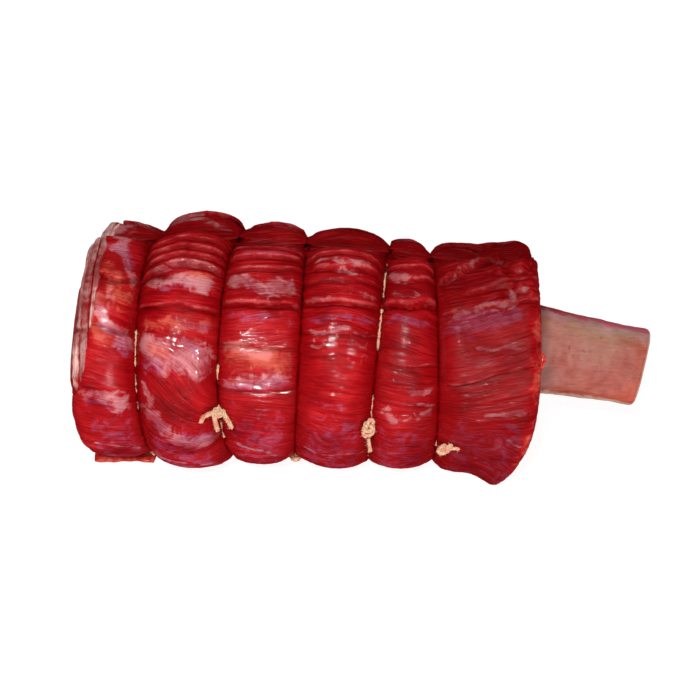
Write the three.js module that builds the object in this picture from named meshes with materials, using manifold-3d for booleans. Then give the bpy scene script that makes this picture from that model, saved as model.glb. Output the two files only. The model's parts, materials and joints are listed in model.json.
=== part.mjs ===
// Bone-in beef shank, rolled round its bone and tied with five loops of butcher's twine.
// Millimetres, +Z up. The roll lies along X on its flattened underside, with the sawn end of
// the bone towards +X. Angles round the roll start at the front (-Y) and rise over the top (+Z).
import * as THREE from "three";
import { mergeVertices } from "three/addons/utils/BufferGeometryUtils.js";
import Module from "manifold-3d";

const wasm = await Module();
wasm.setup();

const DEG = Math.PI / 180;
const { lerp, smoothstep } = THREE.MathUtils;

// Six lobes of meat, left to right: crest radius, height of the centre over the table, the
// angle where the upper edge of the front layer drops into the seam, and the seam's depth.
const LOBES = [
  { radius: 69.0, height: 64.6, seam: 94, seamDepth: 7 },
  { radius: 74.0, height: 64.0, seam: 89, seamDepth: 12 },
  { radius: 68.0, height: 64.6, seam: 84, seamDepth: 12 },
  { radius: 70.0, height: 62.2, seam: 87, seamDepth: 12 },
  { radius: 66.2, height: 57.9, seam: 90, seamDepth: 11 },
  { radius: 65.0, height: 56.0, seam: 94, seamDepth: 7 },
];
const LOBE_MIDDLES = [-131, -89, -47, -6, 33, 76];
const LUMP = 1.1; // how far muscles swell a lobe out of round

// Where each loop pinches the roll: its place along X, how far the front and the top of the
// loop lean out of that plane, the loop's radius, and where its knot sits and how it lies.
const TIES = [
  { x: -108.9, front: -3.4, top: 0.9, radius: 61.0, knot: -57, lift: 1.5, turn: 20 },
  { x: -62.0, front: -5.3, top: 1.5, radius: 62.5, knot: 0, lift: 5.5, turn: 75 },
  { x: -26.1, front: 2.4, top: 2.6, radius: 61.0, knot: -57, lift: 2.5, turn: 10 },
  { x: 18.8, front: -0.7, top: 4.9, radius: 60.5, knot: -7, lift: 4.0, turn: 0 },
  { x: 48.8, front: 3.2, top: -1.6, radius: 57.5, knot: -21, lift: 4.5, turn: -50 },
];
const LEAN_ANGLE = 30; // the front and top of a loop's lean are measured from this angle
const TWINE_RADIUS = 1.0;
const GAP = 0.35; // clearance between neighbouring solids
const CHANNEL = 1.75; // half-width of the creases that the loops lie in, and their floor's depth
const TWINE_OFF_TABLE = 2.4; // lowest centre line of the twine
const DRAW_IN = 4; // millimetres over which a loop eases towards that height
const LIFT_SPREAD = 7; // degrees each side of a knot over which its loop rises to it
const LOBE_FULLNESS = 0.7; // exponent of the lobes' rounded profile, lower is squarer

// Overlapping muscle layers: the lobe, the angle of the layer's lower edge, and its step.
const LAYERS = [
  { lobe: 1, angle: 60, step: 2.2 },
  { lobe: 1, angle: 74, step: 1.4 },
  { lobe: 2, angle: 57, step: 1.8 },
  { lobe: 2, angle: 72, step: 1.6 },
  { lobe: 3, angle: 53, step: 2.4 },
  { lobe: 3, angle: 73, step: 1.6 },
  { lobe: 4, angle: 57, step: 2.6 },
  { lobe: 4, angle: 75, step: 1.2 },
  { lobe: 0, angle: 62, step: 1.5 },
  { lobe: 5, angle: 72, step: 1.8 },
];
const LAYER_FADE = 9; // degrees over which a layer's step dies away above its edge

// Local dents in the skin, and with a negative depth swellings: place, half-sizes and depth.
const DENTS = [
  { x: 76, angle: 118, length: 5, arc: 14, depth: 4 }, // notch over the right lobe
  { x: 87, angle: -8, length: 6, arc: 5, depth: 3 }, // hollow between two muscles
  { x: -140, angle: 38, length: 4, arc: 8, depth: 2.5 }, // where the end layers part
  { x: 23, angle: -14, length: 7, arc: 12, depth: -2 }, // flap beside the fourth loop
];

// The closed left end is a dome and the right end an almost flat cut face round the bone.
const LEFT = { crest: -132, reach: 14.5, roundness: 3.8, lean: 9, leanAngle: -40 };
const RIGHT = { shoulder: 15, flareTop: 4.5, flareUnder: 8, faceX: 105.3, bulge: 2, rim: 7 };
const FOOT_CUT = { depth: 16, angle: -58, spread: 34 }; // the right end's lower corner, cut back
const END_LAYERS = { pitch: 17, relief: 1.3 }; // the spiral of rolled layers on the left end

// The bone: a flattened oval shaft that falls towards its free end and bends level inside the
// meat. The saw cut there leans, so that the shaft is shorter along its lower edge.
const BONE = {
  end: [170.3, 0, 52.6],
  slope: 11, // degrees it falls towards its free end
  straight: 62,
  bend: 50, // the distance in which the bend dies away inside the meat
  length: 250,
  width: 52.6,
  taper: 0.86, // width at the free end over the width inside the meat
  taperLength: 110,
  cut: 2, // degrees that the saw cut leans
  cutFade: 40, // the distance over which that lean dies away along the shaft
  thickness: 28,
  squareness: 3.2,
  sides: 20,
  face: 30, // degrees its broad face is turned up from the front
};
const MARROW = { width: 25, thickness: 13, sides: 14, recess: 1.2, blindEnd: 14 };

const KNOT = { size: 2.5, stretch: 1.25, squash: 0.9, cord: 1.1, height: 1.2 };
const KNOT_TAILS = [
  [[2, 0, 0], [6, -1, 1.2], [9, -5, 0.4]],
  [[-1, -1, 0], [-2, -4, 1], [-2, -8, 0.4]],
];

// A thin strip of trimmed meat that has slipped out under the left lobe.
const STRIP = { left: -148, right: -111, near: -35, far: -12, thickness: 4.2, wave: 1.2 };

const FLOOR_BLEND = 3; // how softly the meat rounds into its flat underside
const ROUND_STEPS = 56;
const TWINE_STEPS = 40;
const TWINE_SIDES = 5;

// Raises heights below zero to zero, with a rounded transition.
function settle(z) {
  if (z > FLOOR_BLEND) return z;
  if (z < -FLOOR_BLEND) return 0;
  return (z + FLOOR_BLEND) ** 2 / (4 * FLOOR_BLEND);
}

// A value given at each lobe's middle, eased from one middle to the next.
function alongRoll(x, key) {
  const last = LOBE_MIDDLES.length - 1;
  if (x <= LOBE_MIDDLES[0]) return LOBES[0][key];
  if (x >= LOBE_MIDDLES[last]) return LOBES[last][key];
  const i = LOBE_MIDDLES.findIndex((m) => x < m) - 1;
  const t = smoothstep(x, LOBE_MIDDLES[i], LOBE_MIDDLES[i + 1]);
  return lerp(LOBES[i][key], LOBES[i + 1][key], t);
}

// The place of a point at a radius and an angle round the roll's own centre line.
function onRoll(x, radius, angle) {
  const y = -radius * Math.cos(angle * DEG);
  const z = alongRoll(x, "height") + radius * Math.sin(angle * DEG);
  return new THREE.Vector3(x, y, z);
}

const wrapAngle = (angle) => THREE.MathUtils.euclideanModulo(angle + 90, 360) - 90;

function seamDip(lobe, angle) {
  const { seam, seamDepth } = LOBES[lobe];
  const a = wrapAngle(angle);
  return seamDepth * smoothstep(a, seam - 2, seam + 9) * (1 - smoothstep(a, seam + 11, seam + 32));
}

function layerSteps(lobe, angle) {
  const a = wrapAngle(angle);
  let height = 0;
  for (const layer of LAYERS) {
    if (layer.lobe !== lobe || a < layer.angle) continue;
    height += layer.step * Math.exp((layer.angle - a) / LAYER_FADE);
  }
  return height;
}

function crestRadius(lobe, angle) {
  const a = angle * DEG;
  const lumps = Math.sin(2 * a + 1.7 * lobe) + 0.8 * Math.sin(3 * a + 2.3 * lobe);
  return LOBES[lobe].radius + LUMP * lumps + layerSteps(lobe, angle) - seamDip(lobe, angle);
}

function tieX(tie, angle) {
  const a = (angle - LEAN_ANGLE) * DEG;
  return tie.x + tie.front * Math.cos(a) + tie.top * Math.sin(a);
}

// The loop's radius, drawn in under the roll so that the twine clears the table.
function tieRadius(tie, angle) {
  const height = alongRoll(tieX(tie, angle), "height");
  const down = -Math.sin(angle * DEG);
  if (down <= 0) return tie.radius;
  const room = (height - TWINE_OFF_TABLE) / down;
  if (tie.radius < room - DRAW_IN) return tie.radius;
  if (tie.radius > room + DRAW_IN) return room;
  return tie.radius - (tie.radius - room + DRAW_IN) ** 2 / (4 * DRAW_IN);
}

const grooveRadius = (tie, angle) => tieRadius(tie, angle) - CHANNEL;

// One lobe between two loops: swell runs from -90 at its left groove to 90 at its right one.
function middleLobePoint(lobe, swell, angle) {
  const left = TIES[lobe - 1];
  const right = TIES[lobe];
  const from = tieX(left, angle) + CHANNEL;
  const to = tieX(right, angle) - CHANNEL;
  const s = Math.sin(swell * DEG);
  const x = lerp(from, to, (1 + s) / 2);
  const floor = lerp(grooveRadius(left, angle), grooveRadius(right, angle), (1 + s) / 2);
  const full = Math.max(Math.cos(swell * DEG), 0) ** LOBE_FULLNESS;
  return onRoll(x, lerp(floor, crestRadius(lobe, angle), full), angle);
}

// The left lobe's slope from its crest down to the first loop.
function leftShoulderPoint(swell, angle) {
  const s = Math.sin(swell * DEG);
  const x = lerp(LEFT.crest, tieX(TIES[0], angle) - CHANNEL, s);
  const full = Math.max(Math.cos(swell * DEG), 0) ** LOBE_FULLNESS;
  return onRoll(x, lerp(grooveRadius(TIES[0], angle), crestRadius(0, angle), full), angle);
}

// The left end's dome from the crest (part 0) to its middle (part 1), leaning out at the foot.
function leftDomePoint(part, angle) {
  const inwards = 1 - part;
  const curl = (1 - inwards ** LEFT.roundness) ** (1 / LEFT.roundness);
  const radius = crestRadius(0, angle) * inwards;
  const towards = Math.cos((angle - LEFT.leanAngle) * DEG);
  const lean = (LEFT.lean * inwards * (towards + Math.hypot(towards, 0.45))) / 2;
  const turns = radius / END_LAYERS.pitch + angle / 360;
  const relief = END_LAYERS.relief * Math.sin(2 * Math.PI * turns) * smoothstep(part, 0, 0.25);
  const settled = 1 - smoothstep(part, 0.85, 1);
  return onRoll(LEFT.crest - LEFT.reach * curl - lean * curl - relief * settled, radius, angle);
}

// The cut face's place along X at its edge.
function faceX(angle) {
  const fromFoot = (wrapAngle(angle) - FOOT_CUT.angle) / FOOT_CUT.spread;
  const cut = FOOT_CUT.depth * Math.exp(-(fromFoot ** 2));
  return RIGHT.faceX + RIGHT.bulge * Math.cos((angle - LEAN_ANGLE) * DEG) - cut;
}

function rimRadius(angle) {
  const up = Math.sin((angle - LEAN_ANGLE) * DEG);
  return crestRadius(5, angle) + (up > 0 ? RIGHT.flareTop * up : -RIGHT.flareUnder * up ** 3);
}

// The right lobe's rise from the last loop, where swell goes from -90 to 0.
function rightShoulderPoint(swell, angle) {
  const x = tieX(TIES[4], angle) + CHANNEL + RIGHT.shoulder * (1 + Math.sin(swell * DEG));
  const full = Math.max(Math.cos(swell * DEG), 0) ** LOBE_FULLNESS;
  return onRoll(x, lerp(grooveRadius(TIES[4], angle), crestRadius(5, angle), full), angle);
}

// The sleeve of meat from that shoulder to the rim, where part goes from 0 to 1.
function sleevePoint(part, angle) {
  const from = tieX(TIES[4], angle) + CHANNEL + RIGHT.shoulder;
  const x = lerp(from, faceX(angle) - RIGHT.rim, part);
  return onRoll(x, lerp(crestRadius(5, angle), rimRadius(angle), part * part), angle);
}

// The cut edge: turn goes from 0 at the sleeve to 90 at the face.
function rimPoint(turn, angle) {
  const x = faceX(angle) - RIGHT.rim + RIGHT.rim * Math.sin(turn * DEG);
  return onRoll(x, rimRadius(angle) - RIGHT.rim * (1 - Math.cos(turn * DEG)), angle);
}

// The cut face, from its edge (part 0) to its middle (part 1).
function facePoint(part, angle) {
  const middle = RIGHT.faceX + RIGHT.bulge;
  const radius = (rimRadius(angle) - RIGHT.rim) * (1 - part);
  return onRoll(lerp(faceX(angle), middle, part), radius, angle);
}

// Every ring of the meat's skin from the left end to the right one, each a function of angle.
function meatRings() {
  const rings = [];
  for (const part of [0.88, 0.76, 0.65, 0.54, 0.44, 0.34, 0.25, 0.16, 0.09, 0.04, 0.01])
    rings.push((a) => leftDomePoint(part, a));
  for (const swell of [25, 48, 70, 90]) rings.push((a) => leftShoulderPoint(swell, a));
  for (let lobe = 1; lobe <= 4; lobe++)
    for (const swell of [-90, -70, -46, -16, 16, 46, 70, 90])
      rings.push((a) => middleLobePoint(lobe, swell, a));
  for (const swell of [-90, -66, -38, 0]) rings.push((a) => rightShoulderPoint(swell, a));
  for (const part of [0.4, 0.75, 1]) rings.push((a) => sleevePoint(part, a));
  for (const turn of [35, 65, 90]) rings.push((a) => rimPoint(turn, a));
  for (const part of [0.35, 0.7]) rings.push((a) => facePoint(part, a));
  return rings;
}

// A closed skin through rings of points, with a point at each end.
function skin(rings, first, last, steps) {
  const points = [first];
  for (const ring of rings)
    for (let k = 0; k < steps; k++) points.push(ring((360 * k) / steps));
  points.push(last);
  const index = [];
  const at = (ring, k) => 1 + ring * steps + (k % steps);
  for (let k = 0; k < steps; k++) {
    index.push(0, at(0, k), at(0, k + 1));
    index.push(points.length - 1, at(rings.length - 1, k + 1), at(rings.length - 1, k));
  }
  for (let r = 0; r + 1 < rings.length; r++)
    for (let k = 0; k < steps; k++) {
      index.push(at(r, k), at(r + 1, k), at(r + 1, k + 1));
      index.push(at(r, k), at(r + 1, k + 1), at(r, k + 1));
    }
  const geometry = new THREE.BufferGeometry().setFromPoints(points);
  geometry.setIndex(index);
  return geometry;
}

// A closed geometry as a solid that can be joined and cut.
function toSolid(geometry) {
  const bare = new THREE.BufferGeometry();
  bare.setAttribute("position", geometry.getAttribute("position").clone());
  if (geometry.index) bare.setIndex(geometry.index.clone());
  const merged = mergeVertices(bare, 1e-3);
  return new wasm.Manifold(
    new wasm.Mesh({
      numProp: 3,
      vertProperties: new Float32Array(merged.attributes.position.array),
      triVerts: new Uint32Array(merged.index.array),
    }),
  );
}

function toMesh(solid, name, material) {
  const { vertProperties, triVerts } = solid.getMesh();
  const geometry = new THREE.BufferGeometry();
  geometry.setAttribute("position", new THREE.BufferAttribute(new Float32Array(vertProperties), 3));
  geometry.setIndex(new THREE.BufferAttribute(new Uint32Array(triVerts), 1));
  geometry.computeVertexNormals();
  const mesh = new THREE.Mesh(geometry, material);
  mesh.name = name;
  return mesh;
}

function dentDepth(x, angle) {
  let depth = 0;
  for (const dent of DENTS) {
    const along = (x - dent.x) / dent.length;
    const round = (wrapAngle(angle) - dent.angle) / dent.arc;
    depth += dent.depth * Math.exp(-(along ** 2) - round ** 2);
  }
  return depth;
}

// The roll's skin with its dents, and its flat underside on the table.
function rollSolid() {
  const first = leftDomePoint(1, 0);
  const last = facePoint(1, 0);
  const geometry = skin(meatRings(), first, last, ROUND_STEPS);
  const position = geometry.getAttribute("position");
  const point = new THREE.Vector3();
  for (let i = 0; i < position.count; i++) {
    point.fromBufferAttribute(position, i);
    const up = point.z - alongRoll(point.x, "height");
    const angle = Math.atan2(up, -point.y) / DEG;
    const radius = Math.hypot(point.y, up);
    point.copy(onRoll(point.x, radius - dentDepth(point.x, angle), angle));
    position.setXYZ(i, point.x, point.y, settle(point.z));
  }
  return toSolid(geometry);
}

// The slipped strip: a thin slab with a wavy near edge, lying flat on the table.
function stripSolid() {
  const outline = new THREE.Shape();
  const steps = 8;
  outline.moveTo(STRIP.left, STRIP.far);
  for (let k = 0; k <= steps; k++) {
    const x = lerp(STRIP.left, STRIP.right, k / steps);
    outline.lineTo(x, STRIP.near + STRIP.wave * Math.sin(2.1 * k));
  }
  outline.lineTo(STRIP.right, STRIP.far);
  outline.closePath();
  const slab = new THREE.ExtrudeGeometry(outline, { depth: STRIP.thickness, bevelEnabled: false });
  return toSolid(slab);
}

// The oval section of the bone or its marrow, as an outline to sweep.
function ovalOutline(width, thickness, steps) {
  const outline = new THREE.Shape();
  const power = 2 / BONE.squareness;
  for (let k = 0; k < steps; k++) {
    const a = (2 * Math.PI * k) / steps;
    const across = (thickness / 2) * Math.sign(Math.cos(a)) * Math.abs(Math.cos(a)) ** power;
    const along = (width / 2) * Math.sign(Math.sin(a)) * Math.abs(Math.sin(a)) ** power;
    if (k === 0) outline.moveTo(across, along);
    else outline.lineTo(across, along);
  }
  outline.closePath();
  return outline;
}

// How far the bone's centre line has risen at a distance back from the sawn end.
function boneRise(back) {
  const bent = Math.max(back - BONE.straight, 0) / BONE.bend;
  const run = Math.min(back, BONE.straight) + BONE.bend * (1 - Math.exp(-bent));
  return run * Math.sin(BONE.slope * DEG);
}

// An oval shaft on the bone's centre line. Start and end are places along it, counted from the
// sawn end, and negative inside the bone.
function ovalShaft({ width, thickness, sides }, grown, start, end) {
  const outline = ovalOutline(width + 2 * grown, thickness + 2 * grown, sides);
  const shaft = new THREE.ExtrudeGeometry(outline, {
    depth: start - end,
    steps: 8,
    bevelEnabled: false,
  });
  // The shaft's own Z runs along the bone; its broad face turns to the front and up.
  const along = new THREE.Vector3(Math.cos(BONE.slope * DEG), 0, -Math.sin(BONE.slope * DEG));
  const face = new THREE.Vector3(0, -Math.cos(BONE.face * DEG), Math.sin(BONE.face * DEG));
  const side = new THREE.Vector3().crossVectors(along, face).normalize();
  face.crossVectors(side, along);
  const frame = new THREE.Matrix4().makeBasis(face, side, along);
  frame.setPosition(...BONE.end);
  const position = shaft.getAttribute("position");
  const point = new THREE.Vector3();
  for (let i = 0; i < position.count; i++) {
    const back = -end - position.getZ(i);
    const swell = lerp(BONE.taper, 1, smoothstep(back, 0, BONE.taperLength));
    const down = position.getY(i) * swell;
    const slant = Math.tan(BONE.cut * DEG) * (1 - smoothstep(back, 0, BONE.cutFade));
    point.set(position.getX(i) * swell, down, -back - down * slant).applyMatrix4(frame);
    point.z += boneRise(back) - back * Math.sin(BONE.slope * DEG);
    position.setXYZ(i, point.x, point.y, point.z);
  }
  return toSolid(shaft);
}

class LoopCurve extends THREE.Curve {
  constructor(tie) {
    super();
    this.tie = tie;
  }
  getPoint(t, target = new THREE.Vector3()) {
    const angle = 360 * t + this.tie.knot + 180;
    const off = Math.min(t, 1 - t) * 360;
    const lift = this.tie.lift * Math.exp(-(((180 - off) / LIFT_SPREAD) ** 2));
    const radius = tieRadius(this.tie, angle) + lift;
    return target.copy(onRoll(tieX(this.tie, angle), radius, angle));
  }
}

// A short loose end of twine: a bent tube from the knot out over the meat.
function tailSolid(points, radius) {
  const curve = new THREE.CatmullRomCurve3(points);
  const section = new THREE.Shape();
  for (let k = 0; k < TWINE_SIDES; k++) {
    const a = (2 * Math.PI * k) / TWINE_SIDES;
    if (k === 0) section.moveTo(radius * Math.cos(a), radius * Math.sin(a));
    else section.lineTo(radius * Math.cos(a), radius * Math.sin(a));
  }
  section.closePath();
  return toSolid(new THREE.ExtrudeGeometry(section, { steps: 4, extrudePath: curve }));
}

// The knot's own frame: outward from the roll, along the roll, and round it.
function knotFrame(tie) {
  const out = new THREE.Vector3(0, -Math.cos(tie.knot * DEG), Math.sin(tie.knot * DEG));
  const along = new THREE.Vector3(1, 0, 0).applyAxisAngle(out, tie.turn * DEG);
  const round = new THREE.Vector3().crossVectors(out, along);
  const radius = tieRadius(tie, tie.knot) + tie.lift + KNOT.height;
  const frame = new THREE.Matrix4().makeBasis(along, round, out);
  frame.setPosition(onRoll(tieX(tie, tie.knot), radius, tie.knot));
  return frame;
}

// A loop of twine with its knot and two cut ends, swollen evenly where swell is above zero.
function tieSolid(tie, swell) {
  const radius = TWINE_RADIUS + swell;
  const loop = toSolid(
    new THREE.TubeGeometry(new LoopCurve(tie), TWINE_STEPS, radius, TWINE_SIDES, true),
  );
  const frame = knotFrame(tie);
  const knot = new THREE.TorusKnotGeometry(KNOT.size, KNOT.cord + swell, 24, 4, 2, 3);
  knot.scale(KNOT.stretch, KNOT.squash, KNOT.squash);
  knot.applyMatrix4(frame);
  let solid = loop.add(toSolid(knot));
  for (const tail of KNOT_TAILS) {
    const points = tail.map((p) => new THREE.Vector3(...p).applyMatrix4(frame));
    solid = solid.add(tailSolid(points, radius));
  }
  return solid;
}

const meatRed = new THREE.MeshStandardMaterial({ color: 0xa8232a, roughness: 0.35 });
const boneTan = new THREE.MeshStandardMaterial({ color: 0xb0786a, roughness: 0.5 });
const marrowPink = new THREE.MeshStandardMaterial({ color: 0xc98a78, roughness: 0.45 });
const twineCream = new THREE.MeshStandardMaterial({ color: 0xdba884, roughness: 0.85 });

const sawnEnd = 0;
const innerEnd = -BONE.length;
const canalEnd = innerEnd + MARROW.blindEnd;
const boneRoom = ovalShaft(BONE, GAP, sawnEnd, innerEnd - GAP);
const canal = ovalShaft(MARROW, GAP, sawnEnd + GAP, canalEnd);
const bone = ovalShaft(BONE, 0, sawnEnd, innerEnd).subtract(canal);
const marrow = ovalShaft(MARROW, 0, sawnEnd - MARROW.recess, canalEnd + GAP);

let meat = rollSolid().add(stripSolid()).subtract(boneRoom);
const ties = TIES.map((tie) => tieSolid(tie, 0));
for (const tie of TIES) meat = meat.subtract(tieSolid(tie, GAP));

const shank = new THREE.Group();
shank.add(toMesh(meat, "meat", meatRed));
shank.add(toMesh(bone, "bone", boneTan));
shank.add(toMesh(marrow, "marrow", marrowPink));
ties.forEach((tie, i) => shank.add(toMesh(tie, `twine_tie_${i + 1}`, twineCream)));

// The origin goes under the middle of the whole, on the table.
const box = new THREE.Box3().setFromObject(shank, true);
shank.position.set(-(box.min.x + box.max.x) / 2, -(box.min.y + box.max.y) / 2, -box.min.z);

export default shank;
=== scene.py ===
# The looks of a bone-in beef shank, rolled round its bone and tied with five loops of twine.
# Shapes are worked out in millimetres on the roll's own centre line, then placed in the frame
# in metres. Angles round the roll start at the front (-Y) and rise over the top (+Z).
import json
import math
from functools import partial

import bpy
import numpy as np
from mathutils import Matrix, Vector

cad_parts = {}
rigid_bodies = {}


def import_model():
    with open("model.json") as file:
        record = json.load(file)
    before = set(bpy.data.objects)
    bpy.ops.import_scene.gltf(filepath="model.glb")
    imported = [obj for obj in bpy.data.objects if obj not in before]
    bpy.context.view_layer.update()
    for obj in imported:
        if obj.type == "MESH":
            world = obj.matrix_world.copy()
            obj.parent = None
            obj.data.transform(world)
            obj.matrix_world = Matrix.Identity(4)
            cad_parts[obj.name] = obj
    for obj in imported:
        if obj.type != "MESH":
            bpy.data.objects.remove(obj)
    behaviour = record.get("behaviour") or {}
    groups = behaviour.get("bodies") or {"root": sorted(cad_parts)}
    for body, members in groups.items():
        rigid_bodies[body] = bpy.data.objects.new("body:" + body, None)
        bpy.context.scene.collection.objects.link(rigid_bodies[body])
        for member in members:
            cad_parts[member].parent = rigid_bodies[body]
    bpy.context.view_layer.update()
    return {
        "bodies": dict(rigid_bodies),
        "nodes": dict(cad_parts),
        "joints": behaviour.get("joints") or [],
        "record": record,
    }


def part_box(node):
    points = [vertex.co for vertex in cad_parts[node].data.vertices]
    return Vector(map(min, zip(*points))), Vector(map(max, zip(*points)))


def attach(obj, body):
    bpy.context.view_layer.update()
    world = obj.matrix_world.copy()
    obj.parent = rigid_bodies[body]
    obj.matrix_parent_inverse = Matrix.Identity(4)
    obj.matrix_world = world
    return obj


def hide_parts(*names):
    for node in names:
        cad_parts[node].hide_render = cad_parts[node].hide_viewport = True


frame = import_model()

MM = 0.001
DEG = math.pi / 180

# Six lobes of meat, left to right: crest radius, height of the centre over the table, the
# angle where the front layer drops into the seam, and the seam's depth.
LOBE_RADIUS = [69.0, 74.0, 68.0, 70.0, 66.2, 65.0]
LOBE_HEIGHT = [64.6, 64.0, 64.6, 62.2, 57.9, 56.0]
SEAM_ANGLE = [94, 89, 84, 87, 90, 94]
SEAM_DEPTH = [7, 12, 12, 12, 11, 7]
LOBE_MIDDLES = [-131, -89, -47, -6, 33, 76]
LUMP = 1.1

# The loops: place along X, lean of the front and of the top, radius, knot angle, how far the
# knot is lifted out of the crease, and its turn.
TIES = [
    {"x": -108.9, "front": -3.4, "top": 0.9, "radius": 61.0, "knot": -57, "lift": 1.5},
    {"x": -62.0, "front": -5.3, "top": 1.5, "radius": 62.5, "knot": 0, "lift": 5.5},
    {"x": -26.1, "front": 2.4, "top": 2.6, "radius": 61.0, "knot": -57, "lift": 2.5},
    {"x": 18.8, "front": -0.7, "top": 4.9, "radius": 60.5, "knot": -7, "lift": 4.0},
    {"x": 48.8, "front": 3.2, "top": -1.6, "radius": 57.5, "knot": -21, "lift": 4.5},
]
LEAN_ANGLE = 30
CHANNEL = 1.75
TWINE_OFF_TABLE = 2.4
DRAW_IN = 4
LIFT_SPREAD = 3.5
LOBE_FULLNESS = 0.72
LEFT = {"crest": -132, "reach": 14.5, "roundness": 3.8, "lean": 9, "lean_angle": -40}
RIGHT = {"shoulder": 15, "flare_top": 4.5, "flare_under": 8, "face": 105.3, "bulge": 2, "rim": 7}
FOOT_CUT = {"depth": 16, "angle": -58, "spread": 34}
END_LAYERS = {"outer": 4.2, "inner": 10.5, "spread": 15, "relief": 1.8, "crack": 38}
BONE = {
    "end": (170.3, 0, 52.6), "slope": 11, "straight": 62, "bend": 50, "length": 250, "width": 52.6,
    "taper": 0.86, "taper_length": 110, "thickness": 28, "squareness": 3.2, "face": 30,
    "cut": 2, "cut_fade": 40,
}
SAWN_EDGE = 1.8  # the rounding of the sawn end's edge
MARROW = {"width": 25, "thickness": 13, "recess": 1.2}
CANAL_GAP = 0.7  # how much wider the canal is than its marrow
KNOT_SINK = 1.6  # how far a knot is pressed into the skin
KNOT_SEAT = 1.2  # how far the middle of a knot lies outside its loop
KNOT_BED = (5.0, 6.0)  # half-sizes of the hollow that it lies in, along the roll and round it
WALL_GAP = 0.12  # from the middle of a closed crease to either wall
STRIP = {"left": -148, "right": -111, "near": -35, "far": -12, "thickness": 4.2}
SHRED = {"low": 30, "high": 40}
FLOOR_BLEND = 3
SKIN_RADIUS = 66.0  # radius at which arcs round the roll are turned into millimetres

# Where each crease stands open so that its twine shows: pairs of angles, front and then back.
OPEN_CREASES = [
    [(-4, 40), (148, 176)],
    [(14, 23), (-24, -9), (196, 214)],
    [(-62, -50), (138, 160)],
    [(-44, 12), (37, 64), (65, 84), (88, 97), (172, 203)],
    [(150, 168)],
]

# Overlapping muscle layers. Each has its lobe, the lower edge as (across, angle) points from
# the left crease (0) to the right one (1), and the height of its step.
LAYERS = [
    (0, [(0.2, 66), (0.6, 62), (1.0, 66)], 1.5),
    (0, [(0.2, 42), (0.6, 40), (0.9, 38)], 0.7),
    (1, [(0.0, 80), (0.5, 84), (1.0, 82)], 0.8),
    (1, [(0.0, 76), (0.4, 79), (1.0, 76)], 1.2),
    (1, [(0.1, 71), (0.5, 74), (1.0, 71)], 0.9),
    (1, [(0.0, 63), (0.2, 66), (0.45, 70), (0.75, 69), (1.0, 67)], 1.9),
    (1, [(0.0, 49), (0.5, 50), (1.0, 47)], 1.0),
    (2, [(0.0, 83), (0.5, 84), (1.0, 82)], 0.7),
    (2, [(0.0, 76), (0.5, 78), (1.0, 78)], 1.1),
    (2, [(0.1, 69), (0.5, 71), (1.0, 72)], 0.9),
    (2, [(0.0, 51), (0.5, 52), (0.8, 53), (1.0, 51)], 2.2),
    (2, [(0.0, 33), (0.5, 33), (1.0, 33)], 0.5),
    (2, [(0.0, 12), (0.5, 11), (1.0, 13)], 0.6),
    (3, [(0.0, 79), (0.5, 82), (1.0, 80)], 0.9),
    (3, [(0.15, 72), (0.5, 71), (0.9, 74)], 1.6),
    (3, [(0.0, 65), (0.5, 65.5), (1.0, 68)], 0.7),
    (3, [(0.0, 55), (0.25, 54), (0.5, 55.5), (0.75, 54), (1.0, 56)], 2.0),
    (3, [(0.0, 41), (0.5, 41), (1.0, 42)], 0.5),
    (4, [(0.0, 82), (0.5, 81), (1.0, 82)], 0.8),
    (4, [(0.0, 74), (0.4, 72), (1.0, 75)], 1.1),
    (4, [(0.02, 59), (0.5, 58.5), (0.9, 59.5), (0.99, 62)], 3.0),
    (4, [(0.1, 31), (0.6, 29), (1.0, 31)], 0.6),
    (5, [(0.05, 77), (0.2, 81), (0.41, 89), (0.67, 97)], 1.8),
    (5, [(0.3, 68), (0.6, 73), (1.0, 78)], 0.9),
    (5, [(0.0, 57), (0.5, 60), (1.0, 66)], 0.6),
    (5, [(0.1, 22), (0.43, 25), (0.96, 32)], 1.4),
]
LAYER_SWELL = 2.9  # how far a fold stands up at its edge, for a step of 1
LAYER_ROUND = 2.6  # degrees over which a fold rounds over at its edge
LAYER_FADE = 8  # degrees over which a step dies away above its edge
LAYER_TUCK = 1.6  # degrees over which the skin below tucks in under a step

# Local dents in the skin, and with a negative depth swellings: place, half-sizes and depth.
DENTS = [
    (76, 118, 5, 14, 4.0), (87, -8, 6, 5, 3.0), (-140, 38, 4, 8, 2.5), (23, -14, 7, 12, -2.0),
    (86, -11, 3, 2.2, 2.2), (-119, 103, 9, 6, 1.5), (96, 84, 5, 3, 1.6), (101, 66, 4, 3, 1.4),
    (99, 96, 4, 4, -1.8), (-97, 96, 17, 18, 2.2), (90, 101, 3, 3, -1.4), (94, 74, 3, 2.5, -1.2),
    (103, 52, 3, 3, 1.5),
]

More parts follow.
